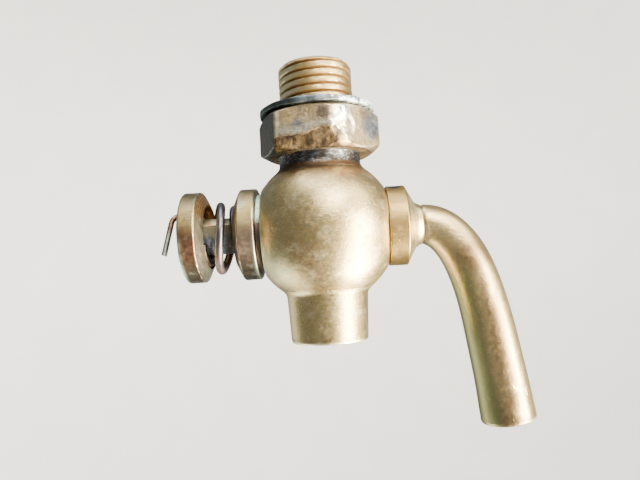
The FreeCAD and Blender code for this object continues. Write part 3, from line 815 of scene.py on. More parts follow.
# %% Hexagon finish
def hexagon_finish():
    finish = brass(
        "hexagon_bronze", 0.55, 0.38, 9.0, base=(0.44, 0.32, 0.18, 1), dull=(0.22, 0.15, 0.095, 1))
    ragged = cloud(finish, 0.9, 5.0, 0.7, 37.0)
    film = over(cloud(finish, 2.6, 5.0, 0.62, 21.0, (1, 1, 1.6)), 0.45, 0.75)
    finish.coat((0.46, 0.36, 0.21, 1), film * 0.45)
    for place, radius, colour, amount in HEXAGON_STAINS:
        stain = both(spot(finish, place, radius, 0.6), over(ragged, 0.22, 0.48))
        finish.coat(colour, stain * amount)
    # Painted shade: the hexagon's left face is coloured near black.
    left = over(-1 * finish.x, 6.85, 7.25)
    finish.coat((0.06, 0.06, 0.042, 1), left * 0.9)
    finish.coat((0.60, 0.53, 0.38, 1), seam(finish, HEXAGON_BAND, 1.0, ragged) * 0.8)
    finish.coat((0.88, 0.76, 0.50, 1), seam(finish, FRONT_CORNER, 0.55, ragged) * 0.95)
    chewed = chewed_part(finish, ragged)
    blotch = over(cloud(finish, 1.5, 5.0, 0.7, 43.0, (1, 1, 0.7)), 0.42, 0.58)
    # The chewed strip is coloured dark brown, partly as tarnish and partly as painted shadow from the
    # globe, with golden smears.
    gnawed_and_shadowed = paint((0.23, 0.15, 0.075, 1), (0.08, 0.055, 0.034, 1), blotch)
    smears_and_glints = over(cloud(finish, 1.2, 4.0, 0.6, 53.0, (1, 1, 0.6)), 0.58, 0.70)
    gnawed_and_shadowed = paint(gnawed_and_shadowed, (0.50, 0.33, 0.13, 1), smears_and_glints * 0.8)
    finish.coat(gnawed_and_shadowed, chewed)
    gleam = both(spot(finish, (4.6, -9.0, -7.3), 1.5, 0.6), over(ragged, 0.3, 0.5))
    finish.coat((0.80, 0.60, 0.30, 1), gleam * 0.85)
    # Painted shade: the hexagon's underside is coloured near black.
    under = 1 - over(finish.z, HEX_BOTTOM_Z + 0.03, HEX_BOTTOM_Z + 0.2)
    finish.coat(DARK, under * 0.9)
    scrape = both(spot(finish, (5.7, -8.8, -4.8), 2.3, 0.5, (1, 1, 0.8)),
                  over(cloud(finish, 0.7, 4.0, 0.6, 47.0, (1.4, 1.4, 0.5)), 0.35, 0.6))
    finish.coat((0.62, 0.56, 0.45, 1), scrape * 0.7)
    # The mashed corner is coloured near white, partly as bare smeared metal and partly as a painted
    # highlight.
    mashed = either(spot(finish, (4.65, -9.25, -2.6), 2.15, 0.3, (1.0, 1.0, 1.1)),
                    stroke(finish, (3.9, -9.5, -3.2), (2.7, -9.9, -4.5), 1.0, ragged))
    lines = either(seam(finish, WEDGE_RIGHT, 0.34, ragged), seam(finish, WEDGE_LEFT, 0.36, ragged))
    edges = edge_wear(finish, 0.12, 0.5) * (0.8 - chewed * 0.7)
    bright = either(mashed, lines * 0.85, edges)
    finish.coat((0.95, 0.88, 0.70, 1), bright)
    finish.roughness = finish.roughness - bright * 0.08 + film * 0.06 + chewed * 0.1
    finish.height = finish.height + cloud(finish, 0.35, 3.0, 0.6, 51.0) * 0.7 + bright * 0.4
    return finished(finish, 0.9, 0.07)


# %% Globe finish
def globe_finish():
    finish = brass("globe_brass", 0.5, 0.34, 13.0)
    patch = cloud(finish, 2.2, 5.0, 0.66, 3.3)
    fine = cloud(finish, 0.8, 4.0, 0.7, 23.0)
    crown = over(finish.z + (patch - 0.5) * 6, -15.5, -11.5)
    shoulder = spot(finish, (8.6, -5.5, -14.2), 6.5, 0.8)
    # The brown patch low on the front is partly tarnish and partly a painted dark reflection.
    brown = spot(finish, (-3.4, -11.6, -28.0), 7.5, 0.75, (1.5, 1, 0.75))
    shade = either(crown * 0.8, shoulder * 0.2, brown * 0.8)
    shade = both(shade, over(patch * 0.7 + fine * 0.3, 0.34, 0.56))
    finish.coat((0.30, 0.19, 0.095, 1), shade)
    # The olive patches low on the left are partly tarnish and partly a painted reflection of a greenish
    # light.
    olive_tarnish_and_reflection = either(spot(finish, (-8.2, -8.0, -27.5), 6.5, 0.8), spot(finish, (-10, -6, -18), 7.0, 0.8))
    finish.coat(OLIVE, olive_tarnish_and_reflection * over(patch, 0.3, 0.6) * 0.9)
    film = over(cloud(finish, 3.2, 4.0, 0.6, 33.0, (1, 1, 1.5)), 0.50, 0.66)
    finish.coat((0.62, 0.50, 0.28, 1), film * 0.6)
    lime = both(over(-1 * finish.x, 9.95, 10.2), over(fine, 0.30, 0.5))
    upper = over(finish.z, PLUG_Z + 1.0, PLUG_Z + 3.0)
    # Painted shade: the boss in the gap by the inner cup is coloured dark brown.
    finish.coat((0.16, 0.11, 0.08, 1), over(-1 * finish.x, 10.36, 10.5))
    # The pale green line along the edge of the spring-side flat is partly verdigris and partly a
    # painted highlight.
    rim = both(lime, either(upper, 1 - over(-1 * finish.x, 10.3, 10.4)))
    finish.coat(VERDIGRIS_AND_HIGHLIGHT, rim * 0.85)
    dirt = over(finish.z + (patch - 0.5) * 1.6, -12.4, -10.9)
    finish.coat((0.10, 0.075, 0.052, 1), dirt * 0.85)
    stain = over(cloud(finish, 1.1, 4.0, 0.6, 17.0), 0.62, 0.72)
    finish.coat(BROWN, stain * 0.45)
    tip = 1 - over(finish.z + (patch - 0.5) * 0.8, -40.75, -40.3)
    line = spot(finish, (0, 0, -40.1), 0.35, 0.5, (0.01, 0.01, 1)) * over(-1 * finish.x, -2.0, 1.0)
    turning = spot(finish, (0, 0, -32.6), 0.3, 0.5, (0.01, 0.01, 1))
    dark = either(line * over(patch, 0.40, 0.65) * 0.6, turning * over(fine, 0.40, 0.6) * 0.6)
    finish.coat(BROWN, dark)
    bright = either(tip * 0.8, edge_wear(finish, 0.2, 0.6) * 0.75)
    nicks = either(stroke(finish, (0.3, -12.9, -18.0), (0.9, -12.9, -18.9), 0.14),
                   stroke(finish, (1.1, -12.9, -17.6), (1.5, -12.9, -18.3), 0.12))
    finish.coat(PALE_GOLD, bright)
    finish.coat(BROWN, nicks * 0.8)
    finish.roughness = finish.roughness + shade * 0.06 + rim * 0.15 + film * 0.04
    return finished(finish, 0.8, 0.05)


BODY_FINISHES = [globe_finish(), thread_finish(), hexagon_finish(), neck_finish(), bore_finish()]
GLOBE, THREAD, HEXAGON, NECK, BORE = range(5)
print([material.name for material in BODY_FINISHES])

# %% Give each face of the casting its finish
def body_finish_at(face):
    """Number of the finish that a face takes, from where its middle is."""
    x, y, z = face.center / MM
    from_spigot = math.hypot(x, y)
    from_plug = math.hypot(y, z - PLUG_Z)
    if z > HEX_BOTTOM_Z - 3 and from_spigot < 3.6 or z < -30 and from_spigot < 4.55:
        return BORE
    if from_plug < plug_radius(x) + 0.07 and -12 < x < 11.5:
        return BORE
    if z > HEX_TOP_Z + 0.01:
        return THREAD
    if z > HEX_BOTTOM_Z - 0.01:
        return HEXAGON
    return NECK if z > -10.75 else GLOBE


def dress_body():
    """Give the body its finishes, and each face the one that its place asks for."""
    body.data.materials.clear()
    for material in BODY_FINISHES:
        body.data.materials.append(material)
    for face in body.data.polygons:
        face.material_index = body_finish_at(face)


dress_body()
print("faces of each finish", np.bincount([face.material_index for face in body.data.polygons]))

# %% The casting on its body
def globe_share(place):
    """Unevenness of the globe and spout, which fades at the widest place, so that the size stays."""
    if not -40 < place.z < -11 or abs(place.x) > 10:
        return 0.0
    return min(1.0, (13.05 - abs(place.y)) / 1.5)


rough_up(body, 0.05, 6.0, 1.0, globe_share)
crisp(body)
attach(body, "valve_body")
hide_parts("body_casting")

# %% [markdown]
# ## Sealing ring
#
# A thin ring of soft grey metal lies under the seat. It has been squeezed more than once, so its
# rim is wavy and thick in places. It is a washer skin with a little unevenness, in a dull blue-grey
# finish.

# %% Sealing ring
def ring_finish():
    finish = Finish("ring_grey_metal", Metallic=1.0)
    patches = over(cloud(finish, 2.2, 5.0, 0.65, 5.0), 0.38, 0.62)
    colour = paint((0.22, 0.25, 0.265, 1), (0.08, 0.092, 0.092, 1), patches)
    # Painted shade: the ring's left side is coloured dark green-grey.
    left = over(-1 * finish.x, 1.5, 6.0)
    colour = paint(colour, (0.055, 0.07, 0.055, 1), left * 0.85)
    # Pale chalk gathers more on the right, partly as chalk and partly as painted light on the lit side.
    right = over(finish.x + finish.y * 0.4, -2.6, 2.0)
    chalk_and_light = over(cloud(finish, 0.9, 5.0, 0.7, 15.0) + right * 0.16, 0.60, 0.74)
    finish.colour = paint(colour, (0.74, 0.82, 0.82, 1), chalk_and_light * 0.85)
    finish.roughness = 0.42 + chalk_and_light * 0.25
    finish.height = cloud(finish, 0.6, 4.0, 0.6, 25.0)
    return finished(finish, 0.6, 0.08)


sealing_ring = turned("sealing_ring_piece", [
    (-1.0, 6.73, 0.1), (-1.0, 10.22, 0.25), (0.0, 10.2, 0.3), (0.0, 6.73, 0.1)],
    "Z", around=200, washer=True, step=0.7)
rough_up(sealing_ring, 0.10, 2.5, 4.0, lambda place: 1.0 if math.hypot(place.x, place.y) > 8 else 0.3)
sealing_ring.data.materials.append(ring_finish())
crisp(sealing_ring)
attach(sealing_ring, "valve_body")
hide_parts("sealing_ring")

# %% [markdown]
# ## Taper plug
#
# The plug is one turning: a slow taper through the globe, a collar and a cone outside it, a waisted
# neck that takes the lever, and at the other end a stem with two milled flats. A port crosses it
# and a small hole takes the split pin. It is a single skin of stated outline, with the port and the
# hole cut through.

# %% Plug solid
HEAD_END_X = 17.18
STEM_END_X = -24.52
TAPER_END_X = -11.9
COLLAR_X = 11.18
PIN_X = -23.22
PORT_RADIUS = 3.0
PIN_HOLE_RADIUS = 0.6
PLUG_OUTLINE = [
    (STEM_END_X, 0.5), (STEM_END_X, STEM_RADIUS, 0.35), (TAPER_END_X, STEM_RADIUS, 0.05),
    (TAPER_END_X, plug_radius(TAPER_END_X), 0.2), (LEVER_FLAT_X, PLUG_RADIUS, 0.05),
    (COLLAR_X, PLUG_RADIUS), (COLLAR_X, 7.0, 0.22), (14.38, 7.0, 0.16), (15.78, 4.5, 0.3),
    (16.0, 4.16), (16.25, 3.92), (16.48, 3.76), (16.75, 3.62), (17.0, 3.5, 0.1),
    (HEAD_END_X, 3.38, 0.05), (HEAD_END_X, 0.5)]
plug_bar = turned("plug_bar", PLUG_OUTLINE, "X", around=160, form=double_d, step=0.6)


def cross_hole(name, x, radius, reach, axis):
    """Long round cutter across the plug, along Y or Z."""
    angles = np.linspace(0, 2 * math.pi, 48, endpoint=False)
    rings = []
    for along in (-reach, reach):
        first, second = radius * np.cos(angles), radius * np.sin(angles)
        if axis == "Y":
            rings.append(np.stack([x + first, along + 0 * first, PLUG_Z + second], axis=-1))
        else:
            rings.append(np.stack([x + first, second, PLUG_Z + along + 0 * first], axis=-1))
    return skin(name, rings)


plug = worked("taper_plug_piece", plug_bar, (), (
    cross_hole("port_cutter", 0.0, PORT_RADIUS, 12.0, "Y"),
    cross_hole("pin_hole_cutter", PIN_X, PIN_HOLE_RADIUS, 6.0, "Z")))

# %% Plug finish
def plug_finish():
    finish = brass("turned_brass", 0.35, 0.38, 23.0, base=(0.36, 0.235, 0.075, 1), scratched=0.10)
    lines = cloud(finish, 0.26, 2.0, 0.6, 3.0, (5.0, 0.6, 0.6))
    patch = cloud(finish, 1.6, 4.0, 0.6, 6.0)
    stem = 1 - over(finish.x, -15.0, -11.5)
    low = 1 - over(finish.z + (patch - 0.5) * 3, PLUG_Z - 0.6, PLUG_Z + 1.4)
    finish.coat((0.42, 0.37, 0.24, 1), stem * 0.8)
    # Painted reflection: the stem's lower half is coloured dark blue-grey in streaks.
    streaks = over(cloud(finish, 0.5, 4.0, 0.6, 9.0, (1.0, 1.0, 0.4), (0, 0.5, 0)), 0.45, 0.62)
    dark_bluish_reflection = paint((0.10, 0.12, 0.14, 1), (0.28, 0.30, 0.32, 1), streaks)
    finish.coat(dark_bluish_reflection, both(stem, low) * 0.95)
    # Painted shade: the stem is coloured dark where it goes into the inner cup.
    near_cup = both(stem, over(finish.x, -17.6, -16.8))
    finish.coat((0.10, 0.085, 0.07, 1), near_cup * 0.8)
    orange = spot(finish, (-19.9, -2.6, PLUG_Z + 2.3), 0.9, 0.7)
    finish.coat((0.42, 0.19, 0.06, 1), orange * 0.8)
    bright_cone = both(over(finish.x, 14.3, 14.9), over(patch, 0.3, 0.5))
    finish.coat((0.80, 0.68, 0.42, 1), bright_cone * 0.6)
    dents = over(cloud(finish, 0.9, 3.0, 0.6, 33.0), 0.70, 0.74)
    chip = spot(finish, (12.6, -2.6, PLUG_Z + 6.6), 1.3, 0.4, (1.0, 1.0, 1.6))
    dark = either(dents * 0.6, chip * over(patch, 0.35, 0.5))
    finish.coat((0.09, 0.07, 0.06, 1), dark)
    finish.coat(PALE_GOLD, edge_wear(finish, 0.12, 0.45) * 0.9)
    finish.roughness = finish.roughness + (lines - 0.5) * 0.12 + stem * 0.1
    finish.height = finish.height + lines * 0.6 - dark * 1.2
    return finished(finish, 0.7, 0.04)


rough_up(plug, 0.06, 2.0, 7.0, lambda place: 1.0 if place.x > 11.3 else 0.0)
plug.data.materials.clear()
plug.data.materials.append(plug_finish())
crisp(plug)
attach(plug, "plug")
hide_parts("taper_plug")

# %% [markdown]
# ## Lever
#
# The lever is a round bar, bent hard beside the plug and then less and less, and a little thicker
# towards its end. Its heading closes on its final slope exponentially, which is how a bar bends
# when it is pulled round a former by its far end. Sections are swept down that line, and the cut
# end is filed a little uneven.

# %% Sweep along a line
def swept(name, centres, sections):
    """Skin whose rings are sections (across, up) set square to a line of centres."""
    centres = np.asarray(centres, dtype=float)
    headings = np.gradient(centres, axis=0)
    headings /= np.linalg.norm(headings, axis=1)[:, None]
    across = np.cross(headings[0], (0.0, 0.0, 1.0))
    if np.linalg.norm(across) < 0.1:
        across = np.cross(headings[0], (0.0, 1.0, 0.0))
    rings = []
    for centre, heading, section in zip(centres, headings, sections):
        across = across - heading * np.dot(across, heading)
        across /= np.linalg.norm(across)
        up = np.cross(across, heading)
        rings.append(centre + section[:, :1] * across + section[:, 1:] * up)
    return skin(name, rings)


def disc(radius, around=72):
    """Round section, as points (across, up)."""
    angles = np.linspace(0, 2 * math.pi, around, endpoint=False)
    return np.stack([radius * np.cos(angles), radius * np.sin(angles)], axis=-1)


# %% The bent lever
LEVER_LENGTH = 39.195
LEVER_DROP = math.radians(83.1)
LEVER_BEND_LENGTH = 6.65
LEVER_ROOT_DIAMETER = 6.9
LEVER_SHOULDER_GAIN = 0.7
LEVER_TIP_GAIN = 1.8
LEVER_TIP_EDGE = 0.65


def lever_line(count=150):
    """Centres and radii down the lever."""
    along = LEVER_LENGTH * np.linspace(0, 1, count)
    fine = np.linspace(0, LEVER_LENGTH, 4001)
    slope = LEVER_DROP * (1 - np.exp(-fine / LEVER_BEND_LENGTH))
    heading = slope[:-1] + np.diff(slope) / 2
    x = HEAD_END_X + np.concatenate([[0], np.cumsum(np.cos(heading))]) * fine[1]
    z = PLUG_Z - np.concatenate([[0], np.cumsum(np.sin(heading))]) * fine[1]
    bent = 1 - np.exp(-along / LEVER_BEND_LENGTH)
    diameter = LEVER_ROOT_DIAMETER + LEVER_SHOULDER_GAIN * bent + LEVER_TIP_GAIN * along / LEVER_LENGTH
    centres = np.stack([np.interp(along, fine, x), 0 * along, np.interp(along, fine, z)], axis=-1)
    return centres, along, diameter / 2


def lever_piece():
    """The lever, with a small groove at the braze and a rounded end."""
    centres, along, radius = lever_line()
    groove = 0.14 * np.exp(-along / 0.12)
    into_edge = np.maximum(LEVER_TIP_EDGE - (LEVER_LENGTH - along), 0)
    end = LEVER_TIP_EDGE - np.sqrt(np.maximum(LEVER_TIP_EDGE ** 2 - into_edge ** 2, 0))
    return swept("lever_piece", centres, [disc(r) for r in radius - groove - end])


lever = lever_piece()
rough_up(lever, 0.10, 9.0, 12.0, lambda place: 1.0 if 18.0 < place.x < 33.5 else 0.0)
print("lever reaches z", round(min(v.co.z for v in lever.data.vertices) / MM, 2), "mm")

# %% Lever finish
LEVER_MIDDLE_X, LEVER_MIDDLE_Z, LEVER_SLOPE = 29.3, -45.0, -0.135
LEVER_NICKS = [
    ((30.1, -4.4, -49.6), (31.2, -4.2, -50.5), 0.22), ((31.9, -3.7, -50.3), (32.2, -3.6, -51.2), 0.2),
    ((26.3, -3.9, -31.0), (27.2, -3.8, -32.3), 0.22)]


def lever_finish():
    finish = brass("lever_brass", 0.4, 0.35, 31.0, base=(0.52, 0.375, 0.17, 1))
    patch = cloud(finish, 2.0, 5.0, 0.64, 44.0, (1, 1, 0.4))
    aside = finish.x - ((finish.z - LEVER_MIDDLE_Z) * LEVER_SLOPE + LEVER_MIDDLE_X)
    streak = both(over(aside, -2.6, -1.2), 1 - over(aside, 0.4, 1.6))
    low = 1 - over(finish.z, -33.0, -27.0)
    streak = both(streak, low)
    bend = spot(finish, (25.2, -3.6, -27.5), 4.6, 0.7)
    end = both(1 - over(finish.z + (patch - 0.5) * 5, -54.5, -47.5),
               1 - over(aside, 2.2, 3.8)) * 0.8
    brown = both(either(streak, bend, end), over(patch, 0.26, 0.50))
    finish.coat((0.23, 0.145, 0.07, 1), brown * 0.9)
    # The olive-green strip down the lever's lower left side is partly tarnish and partly a painted
    # reflection of a greenish light.
    green_tint_and_reflection = both(1 - over(aside, -3.6, -2.2), low)
    finish.coat((0.31, 0.29, 0.12, 1), green_tint_and_reflection * 0.85)
    nicks = over(cloud(finish, 0.7, 3.0, 0.6, 55.0), 0.7, 0.76)
    nick = either(*(stroke(finish, *mark) for mark in LEVER_NICKS))
    tip = 1 - over(finish.z, -56.6, -56.1)
    bright = either(nicks * 0.35, nick * 0.8, edge_wear(finish, 0.2, 0.6))
    finish.coat(PALE_GOLD, bright)
    joint = 1 - over(finish.x, HEAD_END_X, HEAD_END_X + 0.4)
    finish.coat(BROWN, either(joint * 0.8, tip * 0.4))
    finish.height = finish.height + nicks * 0.5 - nick * 0.8
    return finished(finish, 0.7, 0.045)


lever.data.materials.append(lever_finish())
crisp(lever)
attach(lever, "plug")
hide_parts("lever")

# %% [markdown]
# ## Spring cups
#
# Two copies of one turning face each other across the spring. Each has a plain band, a short cone
# on the side of the spring, a bored seat inside the cone, and a wider recess at its back. The hole
# has two flats, so the cups turn with the stem.

# %% Cup finish
def cup_finish(name, seed, rust, tone, seat_x, side):
    """Tarnished brass, painted shade below and inside, and a pale cone orange above, partly rust and
    partly painted light.
    """
    finish = brass(name, 0.5, 0.38, seed, base=(0.37, 0.265, 0.105, 1), scratched=0.2)
    brush = cloud(finish, 0.24, 2.0, 0.6, seed, (1.0, 0.25, 3.0), (0.7, 0, 0))
    patch = cloud(finish, 1.8, 4.0, 0.62, seed + 2)
    height = finish.z + (patch - 0.5) * 3
    # The lower middle of the cup takes its red-brown tone, partly as tarnish and partly as painted
    # shade.
    middle = both(over(height, PLUG_Z - 8.4, PLUG_Z - 6.4),
                  1 - over(height, PLUG_Z - 0.5, PLUG_Z + 2.5))
    finish.coat(tone, middle * rust)
    # Painted shade: the cup is coloured near black towards the bottom.
    low = 1 - over(height, PLUG_Z - 6.8, PLUG_Z - 2.8)
    finish.coat((0.055, 0.047, 0.03, 1), low * 0.9)
    crown = over(height, PLUG_Z + 3.0, PLUG_Z + 6.0)
    finish.coat((0.15, 0.118, 0.062, 1), crown * rust)
    radius = away_from(finish, (0, 0, PLUG_Z), (0, 1, 1))
    cone = both(over(side * finish.x, side * seat_x + 0.2, side * seat_x + 0.35),
                1 - over(radius, 7.7, 7.95))
    # The upper cone is coloured orange with turning lines, partly as rust and partly as painted light
    # where light reaches it.
    stained_and_lit = both(cone, over(height, PLUG_Z + 2.0, PLUG_Z + 4.5))
    turn_lines = finish.sum("FRACT", radius / 0.42)
    stripe = over(abs(turn_lines - 0.5), 0.22, 0.42)
    orange = paint((0.52, 0.26, 0.08, 1), (0.16, 0.075, 0.03, 1), stripe * 0.8)
    finish.coat((0.28, 0.255, 0.175, 1), cone * 0.75)
    finish.coat(orange, stained_and_lit * rust)
    # Painted shade: inside the bore the cup is coloured near black low down and orange-brown higher up.
    inside = 1 - over(radius, 5.5, 5.75)
    painted_shade_inside = paint((0.24, 0.10, 0.035, 1), (0.02, 0.014, 0.01, 1),
                 over(patch - (finish.z - PLUG_Z) * 0.06, 0.15, 0.5))
    finish.coat(painted_shade_inside, inside)
    lime = both(over(patch, 0.55, 0.66), over(-1 * finish.y, -2.0, 4.0))
    back = both(1 - over(side * finish.x, side * seat_x - 2.5, side * seat_x - 1.9),
                over(-1 * finish.z, -PLUG_Z - 1.0, -PLUG_Z + 2.0))
    finish.coat((0.50, 0.55, 0.40, 1), either(lime * 0.25, back * 0.6))
    finish.coat((0.90, 0.80, 0.55, 1), edge_wear(finish, 0.12, 0.40) * 0.95)
    finish.roughness = finish.roughness + (brush - 0.5) * 0.14 + inside * 0.2
    finish.height = finish.height + brush * 0.7
    return finished(finish, 0.7, 0.035)


# %% Cup solid
CUP_OUTLINE = [
    (0.0, 3.28), (0.0, 5.7, 0.2), (1.3, 5.7, 0.16), (0.15, 8.05, 0.22), (-2.7, 8.05, 0.3),
    (-2.7, 6.2, 0.12), (-1.2, 6.2, 0.1), (-1.2, 3.28)]


def spring_cup(name, seat_x, side, material, body_name, node):
    """One cup whose spring seat is at seat_x and faces along X by its side, +1 or -1."""
    outline = [(seat_x + side * corner[0], *corner[1:]) for corner in CUP_OUTLINE]

    def hole(along, radius, angles):
        return double_d(along, radius, angles, STEM_RADIUS + 0.08, STEM_HALF_FLATS + 0.08)

    cup = turned(name, outline, "X", around=144, form=hole, washer=True, step=0.8)
    rough_up(cup, 0.05, 2.5, seat_x)
    cup.data.materials.append(material)
    crisp(cup)
    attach(cup, body_name)
    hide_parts(node)
    print(name, "seat at x", seat_x)


# %% Both cups
INNER_SEAT_X = -14.05
OUTER_SEAT_X = -21.5
inner_brass = cup_finish("inner_cup_brass", 61.0, 0.65, (0.26, 0.17, 0.145, 1), INNER_SEAT_X, -1)
outer_brass = cup_finish("outer_cup_brass", 71.0, 0.9, (0.19, 0.092, 0.055, 1), OUTER_SEAT_X, 1)
spring_cup("inner_cup_piece", INNER_SEAT_X, -1, inner_brass, "spring_seat", "inner_spring_cup")
spring_cup("outer_cup_piece", OUTER_SEAT_X, 1, outer_brass, "plug", "outer_spring_cup")

# %% [markdown]
# ## Barrel spring
#
# The spring is one wire wound in a barrel: small at both ends, where it lies flat in the cups, and
# wide in the middle. Its middle coil has leant over with age. The wire's place follows a rule of
# the turn, so Geometry Nodes wind it: a line is divided evenly, each point is moved to its place on
# the barrel, and the line becomes a round wire.

# %% Sizes of the spring's tree
spring_steps = Steps("barrel_spring", {
    "First Seat": (FLOAT, -20.70), "Last Seat": (FLOAT, -14.805), "Turns": (FLOAT, 2.35),
    "Start Turn": (FLOAT, -0.7), "End Radius": (FLOAT, 4.575), "Middle Radius": (FLOAT, 6.225),
    "Wire Radius": (FLOAT, 0.725), "First Rest": (FLOAT, 0.06), "Travel": (FLOAT, 0.80),
    "Lean": (FLOAT, 1.0)})
print("spring sizes", list(spring_steps.sizes))

# %% The spring's rule as a geometry tree
def spring_geometry(steps):
    """A line whose points are wound round the barrel, with a round wire along it."""
    def sine(angle):
        return steps.sum("SINE", angle)

    line = steps.add("GeometryNodeCurvePrimitiveLine", {}, {"End": (1.0, 0.0, 0.0)}, "Curve")
    divided = steps.add("GeometryNodeResampleCurve", {}, {"Curve": line, "Count": 260}, 0)
    share = steps.add("GeometryNodeSplineParameter", {}, {}, "Factor")
    travel = clamped((share - steps.size("First Rest")) / steps.size("Travel"))
    swell = sine(travel * math.pi)
    swell = swell * swell
    radius = steps.size("End Radius") + (
        steps.size("Middle Radius") - steps.size("End Radius")) * (swell * swell)
    angle = (steps.size("Start Turn") + share * steps.size("Turns")) * (2 * math.pi)
    window = sine(clamped(share * 1.25) * math.pi)
    lean = (sine(angle + math.pi / 2) * 1.06 + sine(angle) * 1.06 - 0.24) * steps.size("Lean")
    first, last = steps.size("First Seat"), steps.size("Last Seat")
    along = clamped(first + (last - first) * travel + lean * window * window, first, last)
    place = steps.add("ShaderNodeCombineXYZ", {}, {
        "X": along * MM, "Y": radius * sine(angle) * -MM,
        "Z": (radius * sine(angle + math.pi / 2) + PLUG_Z) * MM}, 0)
    wound = steps.add("GeometryNodeSetPosition", {}, {"Geometry": divided, "Position": place}, 0)
    circle = steps.add("GeometryNodeCurvePrimitiveCircle", {"mode": "RADIUS"}, {
        "Resolution": 24, "Radius": steps.size("Wire Radius") * MM}, "Curve")
    wire = steps.add("GeometryNodeCurveToMesh", {}, {
        "Curve": wound, "Profile Curve": circle, "Fill Caps": True}, 0)
    return steps.add("GeometryNodeSetShadeSmooth", {}, {"Geometry": wire}, 0)


# %% Spring finish
def spring_finish():
    finish = Finish("spring_steel", Metallic=1.0)
    rust = both(1 - over(finish.z, PLUG_Z - 6.5, PLUG_Z + 1.0),
                over(cloud(finish, 1.0, 5.0, 0.65, 3.0), 0.3, 0.6))
    colour = paint((0.13, 0.124, 0.134, 1), (0.165, 0.10, 0.078, 1), rust * 0.85)
    specks = over(cloud(finish, 0.5, 4.0, 0.65, 9.0), 0.56, 0.68)
    colour = paint(colour, (0.16, 0.10, 0.07, 1), specks * 0.6)
    # Painted shade: the coils that sit in the outer cup are coloured near black.
    seated = 1 - over(finish.x, -20.0, -19.2)
    colour = paint(colour, (0.05, 0.032, 0.02, 1), seated * 0.9)
    # Painted shade: the far side of the coils is coloured brown.
    behind = over(finish.y, 0.8, 3.2)
    finish.colour = paint(colour, (0.17, 0.085, 0.035, 1), behind * 0.85)
    finish.roughness = 0.33 + rust * 0.25 + specks * 0.2
    finish.height = cloud(finish, 0.3, 3.0, 0.6, 12.0)
    return finished(finish, 0.4, 0.03)


# %% Wind the spring
spring_steps.finish(spring_geometry(spring_steps), spring_finish())
spring = outward(spring_steps.build("barrel_spring_piece", {"Turns": 2.35}))
crisp(spring)
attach(spring, "spring_seat")
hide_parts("spring")
PLUG_Z * MM
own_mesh(spring)

# %% [markdown]
# ## Split pin
#
# The split pin is half-round wire folded at an eye. Its eye is below the stem, both legs go up
# through the stem's hole, and the long leg is bent out over the stem's end and down. A smooth line
# through the corners of the fold is swept with a half-round section that keeps its flat side
# towards the other leg.

# %% Smooth line and half-round section
def smooth_line(corners, step=0.12):
    """Line through corners whose bends are rounded over the middle half of each run."""
    corners = [np.array(corner, dtype=float) for corner in corners]
    points = [corners[0]]
    for before, corner, after in zip(corners, corners[1:], corners[2:]):
        reach = 0.45 * min(np.linalg.norm(corner - before), np.linalg.norm(after - corner), 2.4)
        enter = corner + (before - corner) / np.linalg.norm(before - corner) * reach
        leave = corner + (after - corner) / np.linalg.norm(after - corner) * reach
        points.extend(rounded(enter, corner, leave, 8))
    points.append(corners[-1])
    return stepped(np.array(points), step)


def half_round(radius, around=20):
    """Half-round section whose flat side is a little inside the line it is swept down."""
    angles = np.linspace(-math.pi / 2, math.pi / 2, around)
    return np.stack([radius * np.cos(angles) - 0.12 * radius, radius * np.sin(angles)], axis=-1)


# %% Corners of the folded wire
PIN_RADIUS = 0.5
PIN_SPREAD = math.radians(45)
LONG_LEG_REACH, LONG_LEG_DROOP = 4.1, 1.0
LONG_LEG_FLARE, LONG_LEG_FALL = 1.95, 6.5


def pin_corners():
    """Corners of the folded wire: bent leg, up the hole and down to the eye, and the short leg."""
    stem_top, stem_foot = PLUG_Z + 4.5, PLUG_Z - 3.4
    crown = np.array([PIN_X, 0, stem_top])
    out = np.array([-math.cos(PIN_SPREAD), -math.sin(PIN_SPREAD), 0])
    knee = crown + out * LONG_LEG_REACH - (0, 0, LONG_LEG_DROOP)
    toe = knee + out * LONG_LEG_FLARE - (0, 0, LONG_LEG_FALL)
    eye = [(PIN_X, y, stem_foot + z) for y, z in ((-0.02, 0), (-1, -1), (0, -2), (1, -1), (0.02, 0))]
    hook = crown + (0, 3.0, -0.8)
    return [toe, knee, crown - (0, 0.02, 0), *eye, crown + (0, 0.02, 0), hook]


# %% Split pin and its finish
def pin_finish():
    finish = Finish("pin_wire", Metallic=1.0)
    low = 1 - over(finish.z, PLUG_Z - 0.4, PLUG_Z + 2.2)
    outside = both(low, 1 - over(finish.x, -25.5, -25.0))
    patches = over(cloud(finish, 0.7, 4.0, 0.65, 2.0), 0.45, 0.6)
    finish.colour = paint((0.30, 0.18, 0.12, 1), (0.13, 0.07, 0.045, 1), patches)
    finish.coat((0.34, 0.35, 0.31, 1), outside)
    finish.roughness = 0.5 - outside * 0.08
    finish.height = cloud(finish, 0.3, 3.0, 0.6, 14.0)
    return finished(finish, 0.5, 0.03)


pin_line = smooth_line(pin_corners())
wire_length = np.linalg.norm(np.diff(pin_line, axis=0), axis=1).sum()
print("split pin wire", round(wire_length, 1), "mm long")
split_pin = swept("split_pin_piece", pin_line, [half_round(PIN_RADIUS)] * len(pin_line))
split_pin.data.materials.append(pin_finish())
crisp(split_pin, 50)
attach(split_pin, "plug")
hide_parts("split_pin")

# %% [markdown]
# ## Stage, light and camera
#
# Metal shows what is round it. A pale floor and backdrop stand well away from the tap. Two large
# warm windows stand to the right and below, two smaller ones above light the near side and the
# right shoulder, and weak cool lights come from the sky and from the left. The backdrop is kept out
# of reflections, so that the brass keeps dark edges to show its form.

# %% Floor and backdrop
FLAT_SHARE = 0.6
WALL_SHARE = 1.6


